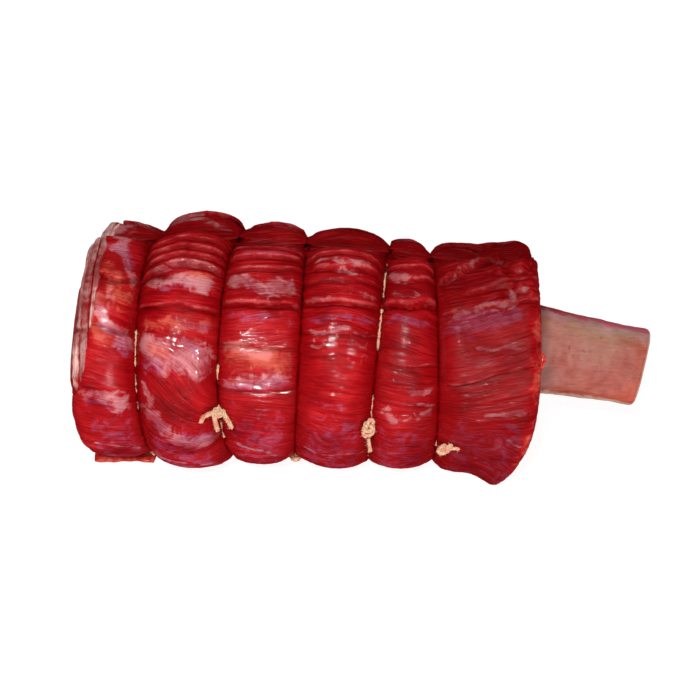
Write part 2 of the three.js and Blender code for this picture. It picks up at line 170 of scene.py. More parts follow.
# Streaks and sheets of other tissue on the red muscle: what it is, the lobe, its run as
# (across, angle) points, its half-width in millimetres and its strength. Purple is partly
# purplish tissue and partly a painted sheen; dark is darker meat, and painted shade where it
# runs under a fold's edge.
STREAKS = [
    ("silver", 0, [(-0.3, 90), (-0.05, 98), (0.12, 108)], 8.0, 1.0),
    ("silver", 0, [(0.34, 128), (0.36, 108), (0.46, 90)], 4.0, 0.9),
    ("silver", 0, [(0.36, 92), (0.56, 79), (0.95, 62)], 2.2, 1.0),
    ("purple", 0, [(0.50, 84), (0.80, 71)], 4.0, 0.9),
    ("silver", 0, [(0.93, 70), (1.00, 58)], 1.5, 0.9),
    ("amber", 0, [(0.40, 68), (0.80, 54)], 6.0, 1.0),
    ("silver", 0, [(0.52, 60), (0.64, 55)], 2.6, 1.0),
    ("amber", 0, [(0.30, 52), (0.50, 51)], 4.0, 0.9),
    ("silver", 0, [(0.30, 50), (0.66, 39), (1.0, 29)], 5.0, 1.0),
    ("purple", 0, [(0.50, 40), (0.95, 25)], 3.0, 0.9),
    ("amber", 0, [(0.28, 42), (0.50, 36)], 4.0, 0.9),
    ("silver", 0, [(0.02, 8), (0.5, 6), (1.0, 4)], 5.4, 0.85),
    ("purple", 0, [(0.05, 4), (0.6, 1)], 3.0, 0.8),
    ("silver", 0, [(0.05, -23), (0.5, -29), (0.9, -36)], 1.2, 0.9),
    ("silver", 1, [(0.16, 60), (0.45, 60), (0.75, 61), (1.0, 59)], 4.6, 0.9),
    ("dark", 1, [(0.20, 65), (0.38, 64)], 4.2, 1.0),
    ("amber", 1, [(0.66, 64), (0.86, 63)], 2.6, 0.9),
    ("purple", 1, [(0.25, 56), (0.60, 57)], 2.4, 0.8),
    ("amber", 1, [(0.08, 44), (0.5, 44), (0.95, 42)], 5.0, 0.85),
    ("purple", 1, [(0.68, 43), (0.92, 41)], 3.0, 0.9),
    ("silver", 1, [(0.08, 32), (0.45, 29), (0.95, 26)], 10.0, 1.0),
    ("amber", 1, [(0.22, 33), (0.42, 29)], 4.5, 1.0),
    ("purple", 1, [(0.10, 24), (0.34, 22)], 3.0, 1.0),
    ("purple", 1, [(0.60, 36), (0.86, 28)], 2.0, 0.9),
    ("silver", 1, [(0.03, 5), (0.25, -3), (0.48, -11), (0.66, -13), (1.0, -12)], 4.6, 1.0),
    ("purple", 1, [(0.60, -9), (1.0, -10)], 3.0, 1.0),
    ("silver", 1, [(0.18, 14), (0.30, 8), (0.27, 1)], 2.0, 1.0),
    ("dark", 1, [(0.42, 2), (0.80, 1)], 4.5, 0.4),
    ("silver", 1, [(0.10, -30), (0.60, -34), (1.0, -40)], 1.2, 0.8),
    ("purple", 2, [(0.25, 81), (0.70, 81)], 1.4, 0.9),
    ("silver", 2, [(0.05, 63), (0.55, 60), (0.80, 62), (1.0, 64)], 5.4, 1.0),
    ("silver", 2, [(0.75, 61), (1.0, 59)], 4.0, 0.9),
    ("purple", 2, [(0.05, 47), (0.5, 47), (1.0, 45)], 4.0, 0.6),
    ("amber", 2, [(0.00, 28), (0.5, 28), (0.95, 27)], 7.0, 1.0),
    ("silver", 2, [(0.00, 31), (0.6, 30)], 3.6, 0.9),
    ("silver", 2, [(0.00, 17), (0.5, 16), (1.0, 18)], 4.6, 0.7),
    ("purple", 2, [(0.05, 14), (0.6, 14), (1.0, 15)], 3.2, 0.9),
    ("silver", 2, [(0.15, -22), (0.50, -28), (0.9, -38)], 1.3, 0.9),
    ("silver", 3, [(0.10, 99), (0.45, 101), (0.85, 108)], 1.3, 0.8),
    ("silver", 3, [(0.20, 76), (0.80, 77)], 2.6, 0.8),
    ("silver", 3, [(0.42, 71), (0.70, 71)], 1.8, 0.9),
    ("dark", 3, [(0.00, 64.5), (0.56, 65), (1.0, 67)], 0.8, 1.0),
    ("silver", 3, [(0.05, 58), (0.5, 59), (0.95, 59)], 2.4, 0.5),
    ("purple", 3, [(0.04, 47), (0.54, 48), (1.0, 50)], 1.5, 0.9),
    ("silver", 3, [(0.05, 41), (0.55, 42), (0.97, 42)], 1.2, 0.8),
    # This broad faint silver band paints a sheen.
    ("silver", 3, [(0.10, 37), (0.5, 35), (0.92, 36)], 9.0, 0.3),
    ("silver", 3, [(0.10, -24), (0.64, -25), (1.0, -31)], 1.2, 0.9),
    ("purple", 3, [(0.10, 8), (0.60, 6)], 3.4, 0.6),
    ("silver", 4, [(0.12, 76), (0.38, 74)], 3.4, 1.0),
    ("silver", 4, [(0.06, 63), (0.5, 62), (0.9, 64)], 3.0, 0.55),
    ("purple", 4, [(0.06, 52), (0.75, 51)], 3.4, 0.9),
    ("silver", 4, [(0.08, 22), (0.5, 23), (1.0, 22)], 6.0, 0.2),
    ("silver", 4, [(0.55, 20), (0.92, 20)], 1.8, 0.9),
    ("silver", 4, [(0.62, 11), (1.0, 8)], 1.8, 0.9),
    ("silver", 4, [(0.12, 4), (0.50, 3), (0.90, 5)], 3.4, 0.5),
    ("silver", 5, [(0.06, 114), (0.30, 112), (0.46, 104)], 1.6, 0.8),
    ("silver", 5, [(0.10, 78), (0.41, 90), (0.68, 99)], 1.6, 0.9),
    ("dark", 5, [(0.10, 74), (0.50, 75), (0.90, 76)], 4.5, 0.9),
    ("silver", 5, [(0.08, 54), (0.49, 62), (0.88, 71)], 2.4, 0.8),
    ("silver", 5, [(0.33, 52), (0.64, 61), (0.80, 65)], 1.4, 0.7),
    ("purple", 5, [(0.02, 49), (0.35, 53), (0.70, 57)], 5.6, 1.0),
    ("silver", 5, [(0.20, 56), (0.23, 50)], 0.8, 1.0),
    ("silver", 5, [(0.36, 60), (0.37, 51)], 0.8, 1.0),
    ("silver", 5, [(0.45, 60), (0.47, 53)], 0.7, 1.0),
    ("silver", 5, [(0.54, 62), (0.55, 55)], 0.8, 1.0),
    ("silver", 5, [(0.38, 40), (0.64, 40), (0.86, 42)], 1.2, 0.9),
    ("dark", 5, [(0.10, 21), (0.43, 24), (0.96, 30)], 1.4, 1.0),
    ("silver", 5, [(0.55, 8), (0.82, 10)], 1.8, 0.9),
    ("purple", 5, [(0.66, 0), (0.84, 0)], 3.0, 1.0),
    ("dark", 5, [(0.72, -10), (0.86, -10)], 2.6, 1.0),
    ("silver", 5, [(0.70, -8), (0.90, -12)], 0.9, 1.0),
    ("silver", 1, [(0.05, 112), (0.30, 118), (0.62, 118), (0.95, 104)], 2.6, 0.8),
    ("silver", 2, [(0.60, 108), (0.95, 100)], 1.4, 0.7),
    ("wet", 0, [(0.45, 50), (0.95, 30)], 5.0, 0.9),
    ("wet", 0, [(0.50, 16), (0.95, 8)], 4.0, 0.8),
    ("wet", 1, [(0.10, 72), (0.90, 70)], 4.0, 0.9),
    ("wet", 1, [(0.40, 32), (0.95, 22)], 7.0, 1.0),
    ("wet", 2, [(0.10, 37), (0.95, 34)], 5.0, 1.0),
    ("wet", 2, [(0.15, 14), (0.90, 10)], 5.0, 1.0),
    ("wet", 2, [(0.15, 60), (0.90, 64)], 3.0, 0.8),
    ("wet", 3, [(0.05, 61), (0.95, 62)], 3.0, 0.9),
    ("wet", 3, [(0.10, 45), (0.95, 30)], 7.0, 0.7),
    ("wet", 3, [(0.10, 12), (0.90, 2)], 8.0, 1.0),
    ("wet", 4, [(0.10, 48), (0.90, 44)], 4.0, 0.3),
    ("wet", 4, [(0.10, 18), (0.90, 2)], 8.0, 1.0),
    ("wet", 5, [(0.05, 58), (0.60, 66)], 5.0, 0.8),
    ("wet", 5, [(0.10, 12), (0.80, 2)], 7.0, 0.8),
    ("wet", 5, [(0.40, -14), (0.80, -20)], 5.0, 0.8),
]
# Of these, the creases' one is painted shade; lip is partly a painted highlight on the folds' lips,
# purple partly a painted sheen, and dark both darker meat and painted shade.
TISSUES = ["silver", "amber", "purple", "dried", "dark", "creased", "lip", "wet"]

# The left lobe's skin runs on over the end's rounded edge and stops at a ragged lip: angle, and
# the lip's place between the crest (0) and the end's middle (1).
LEFT_LIP = [
    (-90, 0.94), (-8, 0.94), (4, 0.72), (12, 0.45), (22, 0.34), (34, 0.28), (42, 0.17),
    (50, 0.07), (64, 0.05), (84, 0.03), (91, 0.12),
    (104, 0.17), (118, 0.12), (132, 0.05), (160, 0.40), (200, 0.80), (270, 0.94),
]

# The top corner of the right end is crumpled: middle, half-sizes and depth.
CRUMPLE = {"x": 93, "angle": 84, "length": 13, "arc": 20, "depth": 3.6}

# Muscles whose fibres fan out: lobe, middle angle, half-spread, and how many degrees they turn
# round the roll from the left crease to the right one.
FANS = [
    (0, 20, 40, -6), (1, 5, 24, -26), (1, -35, 25, 10), (2, -25, 30, -6), (3, -25, 25, -5),
    (5, 62, 34, 16), (5, 20, 26, 8), (5, -40, 26, -14),
]

# How much painted shade darkens each lobe's meat: most on the right lobes, where the light falls off.
LOBE_PAINTED_SHADE = [0.04, 0.0, 0.05, 0.05, 0.25, 0.7]

# How much of its wet film each lobe has kept.
LOBE_WETNESS = [0.8, 1.0, 1.0, 1.0, 0.7, 0.1]

# The muscles that the right end is cut across: middle from the roll's centre line (to the
# back and up), and size.
FACE_MUSCLES = [
    (-40, 34, 20), (-48, -4, 24), (-31, -38, 22), (2, -46, 24), (34, -36, 20), (50, -2, 24),
    (36, 34, 24), (-2, 52, 20), (-24, 6, 13), (24, 10, 14), (4, -22, 12),
]
FACE_WARP = 7  # how far the fascia between them wanders, in millimetres

RELIEF_DEPTH = 0.6  # how far the valleys between the fibre bundles lie under the mean skin
RING_STEPS = {"side": 580, "left": 440, "right": 420}  # columns round the meat
FRONT_DENSITY = 0.4  # how much closer the columns stand at the front than on average

# Fibres on the skin in millimetres, and how high they stand in metres for each step of noise.
FIBRE_RELIEF = {
    "Bundle spacing": 4.0, "Bundle height": 0.0032, "Strand spacing": 1.4, "Strand height": 0.0015,
    "Seed": 11,
}


# Values along the roll and round it

def smoothstep(value, low, high):
    t = np.clip((value - low) / (high - low), 0.0, 1.0)
    return t * t * (3 - 2 * t)


def between(value, rise_from, rise_to, fall_from, fall_to):
    """1 between two limits, eased in over the first pair of values and out over the second."""
    return smoothstep(value, rise_from, rise_to) * smoothstep(-value, -fall_to, -fall_from)


def bell(value, width):
    """1 at zero, falling away smoothly on either side of it."""
    return np.exp(-((value / width) ** 2))


def lerp(a, b, t):
    return a + (b - a) * t


def wrap_angle(angle):
    return (angle + 90) % 360 - 90


def along_roll(x, values):
    """A value given at each lobe's middle, eased from one middle to the next."""
    result = np.full(np.shape(x), float(values[0]))
    for i in range(len(LOBE_MIDDLES) - 1):
        t = smoothstep(x, LOBE_MIDDLES[i], LOBE_MIDDLES[i + 1])
        result = np.where(x >= LOBE_MIDDLES[i], lerp(values[i], values[i + 1], t), result)
    return result


def on_roll(x, radius, angle):
    """Points at a radius and an angle round the roll's own centre line."""
    a = angle * DEG
    height = along_roll(x, LOBE_HEIGHT) + radius * np.sin(a)
    return np.stack(np.broadcast_arrays(x, -radius * np.cos(a), height), axis=-1)


def settle(z):
    """Raises heights below the table to it, with a rounded transition."""
    eased = (z + FLOOR_BLEND) ** 2 / (4 * FLOOR_BLEND)
    return np.where(z > FLOOR_BLEND, z, np.where(z < -FLOOR_BLEND, 0.0, eased))


def lattice_noise(points, seed):
    """Smooth noise from -1 to 1 at points in lattice steps, or at up to three numbers."""
    if isinstance(points, tuple):
        points = np.stack(np.broadcast_arrays(*points, *[0.0] * (3 - len(points))), axis=-1)
    cell = np.floor(points).astype(np.int64)
    part = points - cell
    part = part * part * (3 - 2 * part)
    total = np.zeros(points.shape[:-1])
    for corner in np.ndindex(2, 2, 2):
        key = (cell + corner) * (73856093, 19349663, 83492791)
        mixed = key[..., 0] ^ key[..., 1] ^ key[..., 2] ^ (seed * 40503 + 12345)
        mixed = ((mixed ^ (mixed >> 13)) * 1274126177) & 0x7FFFFFFF
        value = ((mixed ^ (mixed >> 15)) & 0xFFFF) / 32767.5 - 1
        total += value * np.prod(np.where(corner, part, 1 - part), axis=-1)
    return total


# The loops and the creases they lie in

def tie_x(tie, angle):
    a = (angle - LEAN_ANGLE) * DEG
    return tie["x"] + tie["front"] * np.cos(a) + tie["top"] * np.sin(a)


def tie_radius(tie, angle):
    """The loop's radius, drawn in under the roll so that the twine clears the table."""
    height = along_roll(tie_x(tie, angle), LOBE_HEIGHT)
    down = np.maximum(-np.sin(angle * DEG), 1e-3)
    room = (height - TWINE_OFF_TABLE) / down
    eased = tie["radius"] - (tie["radius"] - room + DRAW_IN) ** 2 / (4 * DRAW_IN)
    radius = np.where(tie["radius"] < room - DRAW_IN, tie["radius"], eased)
    return np.where(tie["radius"] > room + DRAW_IN, room, radius)


def crease_openness(index, angle):
    openness = np.zeros(np.shape(angle))
    for low, high in OPEN_CREASES[index]:
        here = between(wrap_angle(angle), low - 2, low + 2, high - 2, high + 2)
        openness = np.maximum(openness, here)
    return openness


def crease_wall(index, angle, rise, distance):
    """How far a point stands from the middle of a crease: the walls of the two lobes close
    over the twine and lie against each other, except where the crease stands open."""
    openness = crease_openness(index, angle)
    closed = smoothstep(rise, 1.9, 2.8) * (1 - openness)
    squeezed = lerp(WALL_GAP, distance, smoothstep(rise, 3.0, 7.0))
    lips = 0.5 + 0.45 * lattice_noise((angle / 2.6, index), 61)
    parted = lerp(lips, np.maximum(distance, lips), smoothstep(rise, 3.0, 5.5))
    parted = lerp(distance, parted, smoothstep(rise, 1.5, 2.2))
    return lerp(lerp(distance, squeezed, closed), parted, openness)


# The skin of the meat

def layer_edge(run, across):
    points = np.array(run, dtype=float)
    return np.interp(across, points[:, 0], points[:, 1])


def layer_height(lobe, across, angle):
    """The steps of the overlapping layers, how many layers lie below each point, the painted shade where
    the skin tucks in under a layer, and the painted highlight along a layer's lip."""
    height, order, painted_ledge_shade, painted_lip_highlight = np.zeros((4, *np.shape(angle)))
    for layer_lobe, run, step in LAYERS + BACK_LAYERS:
        if layer_lobe != lobe:
            continue
        above = wrap_angle(angle - layer_edge(run, across))
        start, end = run[0][0], run[-1][0]
        ends = between(across, start - 0.06, start + 0.02, end - 0.02, end + 0.06)
        rounding = np.sqrt(1 - (1 - np.clip(above / LAYER_ROUND, 0, 1)) ** 2)
        folded = LAYER_SWELL * (0.2 + 0.8 * rounding) * np.exp(-np.maximum(above, 0) / LAYER_FADE)
        lip = np.where(above >= 0, folded, -0.8 * np.exp(np.minimum(above, 0) / LAYER_TUCK))
        height += step * ends * np.where((above > -20) & (above < 60), lip, 0)
        order += ((above >= 0) & (above < 90)) * (ends > 0.3)
        weight = ends * min(1.0, 0.45 + 0.35 * step)
        painted_ledge_shade = np.maximum(painted_ledge_shade, weight * bell(above + 0.8, 1.3))
        painted_lip_highlight = np.maximum(painted_lip_highlight, weight * bell(above - 0.8, 0.6))
    return height, order, painted_ledge_shade, painted_lip_highlight


def seam_dip(lobe, angle):
    a = wrap_angle(angle)
    seam = np.array(SEAM_ANGLE)[lobe]
    drop = smoothstep(a, seam - 2, seam + 9) * (1 - smoothstep(a, seam + 11, seam + 32))
    return np.array(SEAM_DEPTH)[lobe] * drop


def crest_radius(lobe, angle):
    a = angle * DEG
    lumps = np.sin(2 * a + 1.7 * lobe) + 0.8 * np.sin(3 * a + 2.3 * lobe)
    return LOBE_RADIUS[lobe] + LUMP * lumps - seam_dip(lobe, angle)


def twine_radius_at(index, angle):
    """The visible loop's radius: where its crease is closed the meat has swallowed it, and it
    dips with the seam over the top."""
    tie = TIES[index]
    sunk = 3.0 - 3.1 * crease_openness(index, angle)
    dip = 0.3 * (seam_dip(index, angle) + seam_dip(index + 1, angle)) / 2
    return tie_radius(tie, angle) - sunk - dip


def face_x(angle):
    cut = FOOT_CUT["depth"] * bell(wrap_angle(angle) - FOOT_CUT["angle"], FOOT_CUT["spread"])
    return RIGHT["face"] + RIGHT["bulge"] * np.cos((angle - LEAN_ANGLE) * DEG) - cut


def rim_radius(angle):
    up = np.sin((angle - LEAN_ANGLE) * DEG)
    flare = np.where(up > 0, RIGHT["flare_top"] * up, -RIGHT["flare_under"] * up ** 3)
    return crest_radius(5, angle) + flare


def lobe_full(swell):
    return max(math.cos(swell * DEG), 0.0) ** LOBE_FULLNESS


def middle_lobe(lobe, swell, angle):
    left, right = TIES[lobe - 1], TIES[lobe]
    t = (1 + math.sin(swell * DEG)) / 2
    floor_left = tie_radius(left, angle) - CHANNEL
    floor_right = tie_radius(right, angle) - CHANNEL
    radius = lerp(lerp(floor_left, floor_right, t), crest_radius(lobe, angle), lobe_full(swell))
    start, end = tie_x(left, angle), tie_x(right, angle)
    x = lerp(start + CHANNEL, end - CHANNEL, t)
    from_left = crease_wall(lobe - 1, angle, radius - floor_left, x - start)
    from_right = crease_wall(lobe, angle, radius - floor_right, end - x)
    return np.where(t < 0.5, start + from_left, end - from_right), radius


def left_shoulder(swell, angle):
    floor = tie_radius(TIES[0], angle) - CHANNEL
    radius = lerp(floor, crest_radius(0, angle), lobe_full(swell))
    end = tie_x(TIES[0], angle)
    x = lerp(LEFT["crest"], end - CHANNEL, math.sin(swell * DEG))
    return end - crease_wall(0, angle, radius - floor, end - x), radius


def dome_part(curl):
    """How far in towards the end's middle the dome lies at a share of its reach."""
    return 1 - (1 - curl ** LEFT["roundness"]) ** (1 / LEFT["roundness"])


def left_dome(part, angle):
    inwards = 1 - part
    curl = (1 - inwards ** LEFT["roundness"]) ** (1 / LEFT["roundness"])
    towards = np.cos((angle - LEFT["lean_angle"]) * DEG)
    lean = LEFT["lean"] * inwards * (towards + np.hypot(towards, 0.45)) / 2
    return LEFT["crest"] - (LEFT["reach"] + lean) * curl, crest_radius(0, angle) * inwards


def left_lip(angle):
    places = np.array(LEFT_LIP, dtype=float)
    a = wrap_angle(angle)
    ragged = 0.04 * lattice_noise((a / 5.5,), 41)
    return np.maximum(np.interp(a, places[:, 0], places[:, 1]) + ragged, 0.01)


def lip_row(share, angle):
    """A ring of the left lobe's skin between the crest (0) and its lip (1); past 1 it turns in."""
    x, radius = left_dome(dome_part(left_lip(angle) * min(share, 1.0)), angle)
    past = max(share - 1, 0)
    return x + 1.2 * past, radius - 2.6 * past


def end_layers(inwards, place, angle):
    """The rolled layers that the left end shows, thin at its edge: how far a point lies across
    its layer (0 to 1), the layer's number and its width."""
    outer, inner, spread = (END_LAYERS[name] for name in ("outer", "inner", "spread"))
    thinner = 1 / outer - 1 / inner
    turns = inwards / inner + thinner * spread * (1 - np.exp(-inwards / spread))
    wander = 0.8 * lattice_noise(place / 26, 41) + 0.35 * lattice_noise(place / 11, 40)
    turns = turns + angle / 360 + wander * smoothstep(inwards, 4, 30) + 0.2 * wander
    turns = turns + 0.45 * lattice_noise((angle / 33,), 39)
    pitch = 1 / (1 / inner + thinner * np.exp(-inwards / spread))
    return turns - np.floor(turns), np.floor(turns), pitch


def right_shoulder(swell, angle):
    floor = tie_radius(TIES[4], angle) - CHANNEL
    radius = lerp(floor, crest_radius(5, angle), lobe_full(swell))
    start = tie_x(TIES[4], angle)
    x = start + CHANNEL + RIGHT["shoulder"] * (1 + math.sin(swell * DEG))
    return start + crease_wall(4, angle, radius - floor, x - start), radius


def sleeve(part, angle):
    start = tie_x(TIES[4], angle) + CHANNEL + RIGHT["shoulder"]
    radius = lerp(crest_radius(5, angle), rim_radius(angle), part * part)
    return lerp(start, face_x(angle) - RIGHT["rim"], part), radius


def rim(turn, angle):
    x = face_x(angle) - RIGHT["rim"] * (1 - math.sin(turn * DEG))
    return x, rim_radius(angle) - RIGHT["rim"] * (1 - math.cos(turn * DEG))


def face_muscles(radius, angle):
    """How far a point of the cut right end lies in from the nearest fascia, and from the bone."""
    y, z = -radius * np.cos(angle * DEG), radius * np.sin(angle * DEG)
    place = (y / 17, z / 17)
    wander_y = y + FACE_WARP * lattice_noise(place, 43)
    wander_z = z + FACE_WARP * lattice_noise(place, 44)
    away = [np.hypot(wander_y - my, wander_z - mz) / size for my, mz, size in FACE_MUSCLES]
    nearest, second = np.sort(np.stack(away), axis=0)[:2]
    back = BONE["end"][0] - RIGHT["face"]
    bone_z = z + LOBE_HEIGHT[5] - BONE["end"][2] - float(bone_rise(np.array(back)))
    tilt = BONE["face"] * DEG
    deep = y * math.cos(tilt) - bone_z * math.sin(tilt)
    wide = y * math.sin(tilt) + bone_z * math.cos(tilt)
    from_bone = np.hypot(deep / (BONE["thickness"] / 2), wide / (BONE["width"] / 2)) - 1
    return 10 * (second - nearest), from_bone * BONE["thickness"] / 2


def face(part, angle):
    radius = (rim_radius(angle) - RIGHT["rim"]) * (1 - part)
    from_fascia, from_bone = face_muscles(radius, angle)
    domed = 1.7 * (1 - np.exp(-from_fascia / 2.2)) * smoothstep(from_bone, -2, 4)
    domed = domed * smoothstep(part, 0, 0.12)
    return lerp(face_x(angle), RIGHT["face"] + RIGHT["bulge"], part) + domed - 0.9, radius


def towards_creases(count):
    """Swells from a lobe's crest (0) to its crease (90), closer together near the crease."""
    return 90 * (1 - (1 - np.linspace(0, 1, count)) ** 1.6)


def side_rows():
    """The rings round the roll's side from left to right, each with its shape and its lobe."""
    half = towards_creases(11)
    rows = [(partial(lip_row, share), 0) for share in (2.0, 1.5, 1.2, *np.linspace(1, 0, 18))]
    rows += [(partial(left_shoulder, swell), 0) for swell in towards_creases(16)[1:]]
    for lobe in range(1, 5):
        rows += [(partial(middle_lobe, lobe, swell), lobe) for swell in (*-half[::-1], *half[1:])]
    rows += [(partial(right_shoulder, swell), 5) for swell in -towards_creases(12)[::-1]]
    rows += [(partial(sleeve, part), 5) for part in np.linspace(0, 1, 15)[1:]]
    return rows + [(partial(rim, turn), 5) for turn in np.linspace(0, 90, 7)[1:]]


def left_end_rows():
    """The rings of the rolled layers on the left end, from its middle out."""
    flank = dome_part(np.linspace(0.82, 0.0, 46))
    parts = [*np.linspace(0.985, flank[0], 58)[:-1], *flank]
    return [(partial(left_dome, part), 0) for part in parts]


def right_end_rows():
    """The rings of the cut face on the right end, from its edge in."""
    edge = (lambda angle: (face_x(angle) - 4.0, rim_radius(angle) - RIGHT["rim"]), 5)
    return [edge] + [(partial(face, part), 5) for part in np.linspace(0, 0.985, 60)]


def lobe_ends(lobe, angle):
    """Where a lobe starts and ends along X, on its outside."""
    start = tie_x(TIES[lobe - 1], angle) if lobe else -143.0 + 0 * angle
    end = tie_x(TIES[lobe], angle) if lobe < 5 else RIGHT["face"] + 0 * angle
    return start, end


def streak_strength(lobe, run, half_width, x, angle):
    """1 on the run of a streak, falling to 0 at its edges."""
    arc = SKIN_RADIUS * DEG
    a = wrap_angle(angle)
    corners = []
    for across, run_angle in run:
        start, end = lobe_ends(lobe, np.array(float(run_angle)))
        corners.append((lerp(start, end, across), run_angle * arc))
    nearest = np.full(np.shape(x), 1e9)
    place = np.stack([x / 11, np.cos(angle * DEG) * 7, np.sin(angle * DEG) * 7], -1)
    shift_x = 6.0 * lattice_noise(place, 71)
    shift_y = 3.6 * lattice_noise(place, 72) + 1.3 * lattice_noise(place * 2.7, 73)
    for (x0, y0), (x1, y1) in zip(corners[:-1], corners[1:]):
        px, py = x + shift_x - x0, a * arc + shift_y - y0
        dx, dy = x1 - x0, y1 - y0
        t = np.clip((px * dx + py * dy) / (dx * dx + dy * dy + 1e-9), 0, 1)
        nearest = np.minimum(nearest, np.hypot(px - t * dx, py - t * dy))
    return 1 - smoothstep(nearest, 0.1 * half_width, 1.8 * half_width)


def back_details():
    """Layers and streaks in the same manner on the back and underside, out of the view."""
    random = np.random.default_rng(4)
    layers, streaks = [], []
    for lobe in range(6):
        angle = 132.0
        while angle < 250:
            first, middle, last = angle + random.uniform(-7, 7, 3)
            run = [(0.0, first), (random.uniform(0.3, 0.7), middle), (1.0, last)]
            layers.append((lobe, run, random.uniform(0.7, 2.2)))
            tissue = random.choice(["silver", "silver", "purple", "amber"])
            spot = random.uniform(0.05, 0.6)
            start = (spot, angle - random.uniform(2, 9))
            end = (spot + random.uniform(0.2, 0.4), angle - random.uniform(2, 12))
            width, strength = random.uniform(1.2, 6.0), random.uniform(0.5, 1.0)
            streaks.append((tissue, lobe, [start, end], width, strength))
            angle += random.uniform(13, 24)
    return layers, streaks


BACK_LAYERS, BACK_STREAKS = back_details()


def dent_depth(x, angle):
    depth = np.zeros(np.shape(x))
    for dent_x, dent_angle, length, arc, amount in DENTS:
        around = wrap_angle(angle - dent_angle) / arc
        depth += amount * np.exp(-(((x - dent_x) / length) ** 2) - around ** 2)
    return depth


def muscle_swell(x, radius, angle):
    """Uneven swelling of the muscles, in lumps of a few centimetres and of one centimetre."""
    place = on_roll(x, radius, angle)
    broad = lattice_noise(place / (30, 17, 17), 31)
    small = lattice_noise(place / (14, 7, 7), 32)
    along = (x - CRUMPLE["x"]) / CRUMPLE["length"]
    around = wrap_angle(angle - CRUMPLE["angle"]) / CRUMPLE["arc"]
    knobs = lattice_noise(place / (6, 4, 4), 33) + 0.6 * lattice_noise(place / (3, 2, 2), 34)
    crumpled = CRUMPLE["depth"] * np.exp(-(along ** 4) - around ** 4) * (knobs - 0.3)
    return 1.3 * broad + 0.5 * small + crumpled


def knot_radius(tie):
    return tie_radius(tie, np.array(float(tie["knot"]))) + tie["lift"]


def knot_bed(x, radius, angle):
    """Presses the skin in where a knot sits on it."""
    for tie in TIES:
        away_x = (x - tie_x(tie, np.array(float(tie["knot"])))) / KNOT_BED[0]
        away_round = wrap_angle(angle - tie["knot"]) * DEG * SKIN_RADIUS / KNOT_BED[1]
        near = np.exp(-(away_x ** 2) - away_round ** 2)
        radius = lerp(radius, np.minimum(radius, knot_radius(tie) - KNOT_SINK), near)
    return radius


def closed_grid(rings, first, last, name):
    """A closed mesh through rings of points with a point at each end."""
    rows, steps = rings.shape[:2]
    points = np.concatenate([first[None], rings.reshape(-1, 3), last[None]])
    at = 1 + np.arange(rows * steps).reshape(rows, steps)
    after = np.roll(at, -1, axis=1)
    quads = np.stack([at[:-1], at[1:], after[1:], after[:-1]], axis=-1).reshape(-1, 4)
    start = np.stack([np.zeros(steps, int), at[0], after[0]], axis=-1)
    finish = np.stack([np.full(steps, len(points) - 1), after[-1], at[-1]], axis=-1)
    mesh = bpy.data.meshes.new(name)
    mesh.from_pydata(points.tolist(), [], quads.tolist() + start.tolist() + finish.tolist())
    mesh.shade_smooth()
    return mesh


def store(mesh, **values):
    """Keeps numbers or vectors for each vertex by name, with the end points filled in."""
    for name, value in values.items():
        vector = value.ndim == 3
        flat = value.reshape(-1, 3) if vector else value.reshape(-1)
        filled = np.concatenate([flat[:1], flat, flat[-1:]]).astype(float).reshape(-1)
        attribute = mesh.attributes.new(name, "FLOAT_VECTOR" if vector else "FLOAT", "POINT")
        attribute.data.foreach_set("vector" if vector else "value", filled)


def to_frame(points):
    return (points + ROLL_ORIGIN) * MM


def place_object(name, data):
    placed = bpy.data.objects.new(name, data)
    bpy.context.scene.collection.objects.link(placed)
    return placed


def swept_sheet(name, centres, wide, out, half_width, half_thick, sides, amounts):
    """A closed sheet of meat swept through centres: wide and out are unit vectors over its width
    and its thickness, its half sizes may change along it, and amounts are those of its tissues."""
    turn = np.arange(sides) * 2 * np.pi / sides
    c, s = np.cos(turn), np.sin(turn)
    lateral = half_width[:, None] * (np.sign(c) * np.abs(c) ** 0.7)
    raised = half_thick[:, None] * (np.sign(s) * np.abs(s) ** 0.8)
    wide, out = (np.broadcast_to(way, centres.shape)[:, None] for way in (wide, out))
    rings = centres[:, None] + wide * lateral[..., None] + out * raised[..., None]
    rings[..., 2] = np.maximum(rings[..., 2], 0.05)
    along = np.concatenate([[0], np.cumsum(np.linalg.norm(np.diff(centres, axis=0), axis=1))])
    grain = np.stack([along[:, None] * 0.1 + 0 * lateral, lateral * 1.6 + 40, raised * 1.6], -1)
    mesh = closed_grid(to_frame(rings), to_frame(centres[0]), to_frame(centres[-1]), name)
    shares = {tissue: 0 * lateral + amounts.get(tissue, 0.0) for tissue in TISSUES}
    store(mesh, grain=grain, **shares)
    return place_object(name, mesh)


def taper(count, share):
    """Sizes that fall away at both ends over a share of the length."""
    t = np.linspace(0, 1, count)
    return np.clip(np.minimum(t, 1 - t) / share, 0.02, 1) ** 0.5


def slipped_strip():
    """The thin strip of trimmed meat that has slipped out under the left lobe."""
    x = np.linspace(STRIP["left"], STRIP["right"], 64)
    near = STRIP["near"] + 0.8 * np.sin(0.19 * x) + 0.3 * np.sin(0.71 * x)
    centres = np.stack([x, (near + STRIP["far"]) / 2, 0 * x + STRIP["thickness"] / 2], -1)
    size = taper(len(x), 0.03)
    half_width = (STRIP["far"] - near) / 2
    return swept_sheet(
        "slipped_strip", centres, (0.0, 1.0, 0.0), (0.0, 0.0, 1.0), half_width * size,
        STRIP["thickness"] / 2 * size, 44, {"amber": 0.7, "silver": 0.3, "wet": 0.5})


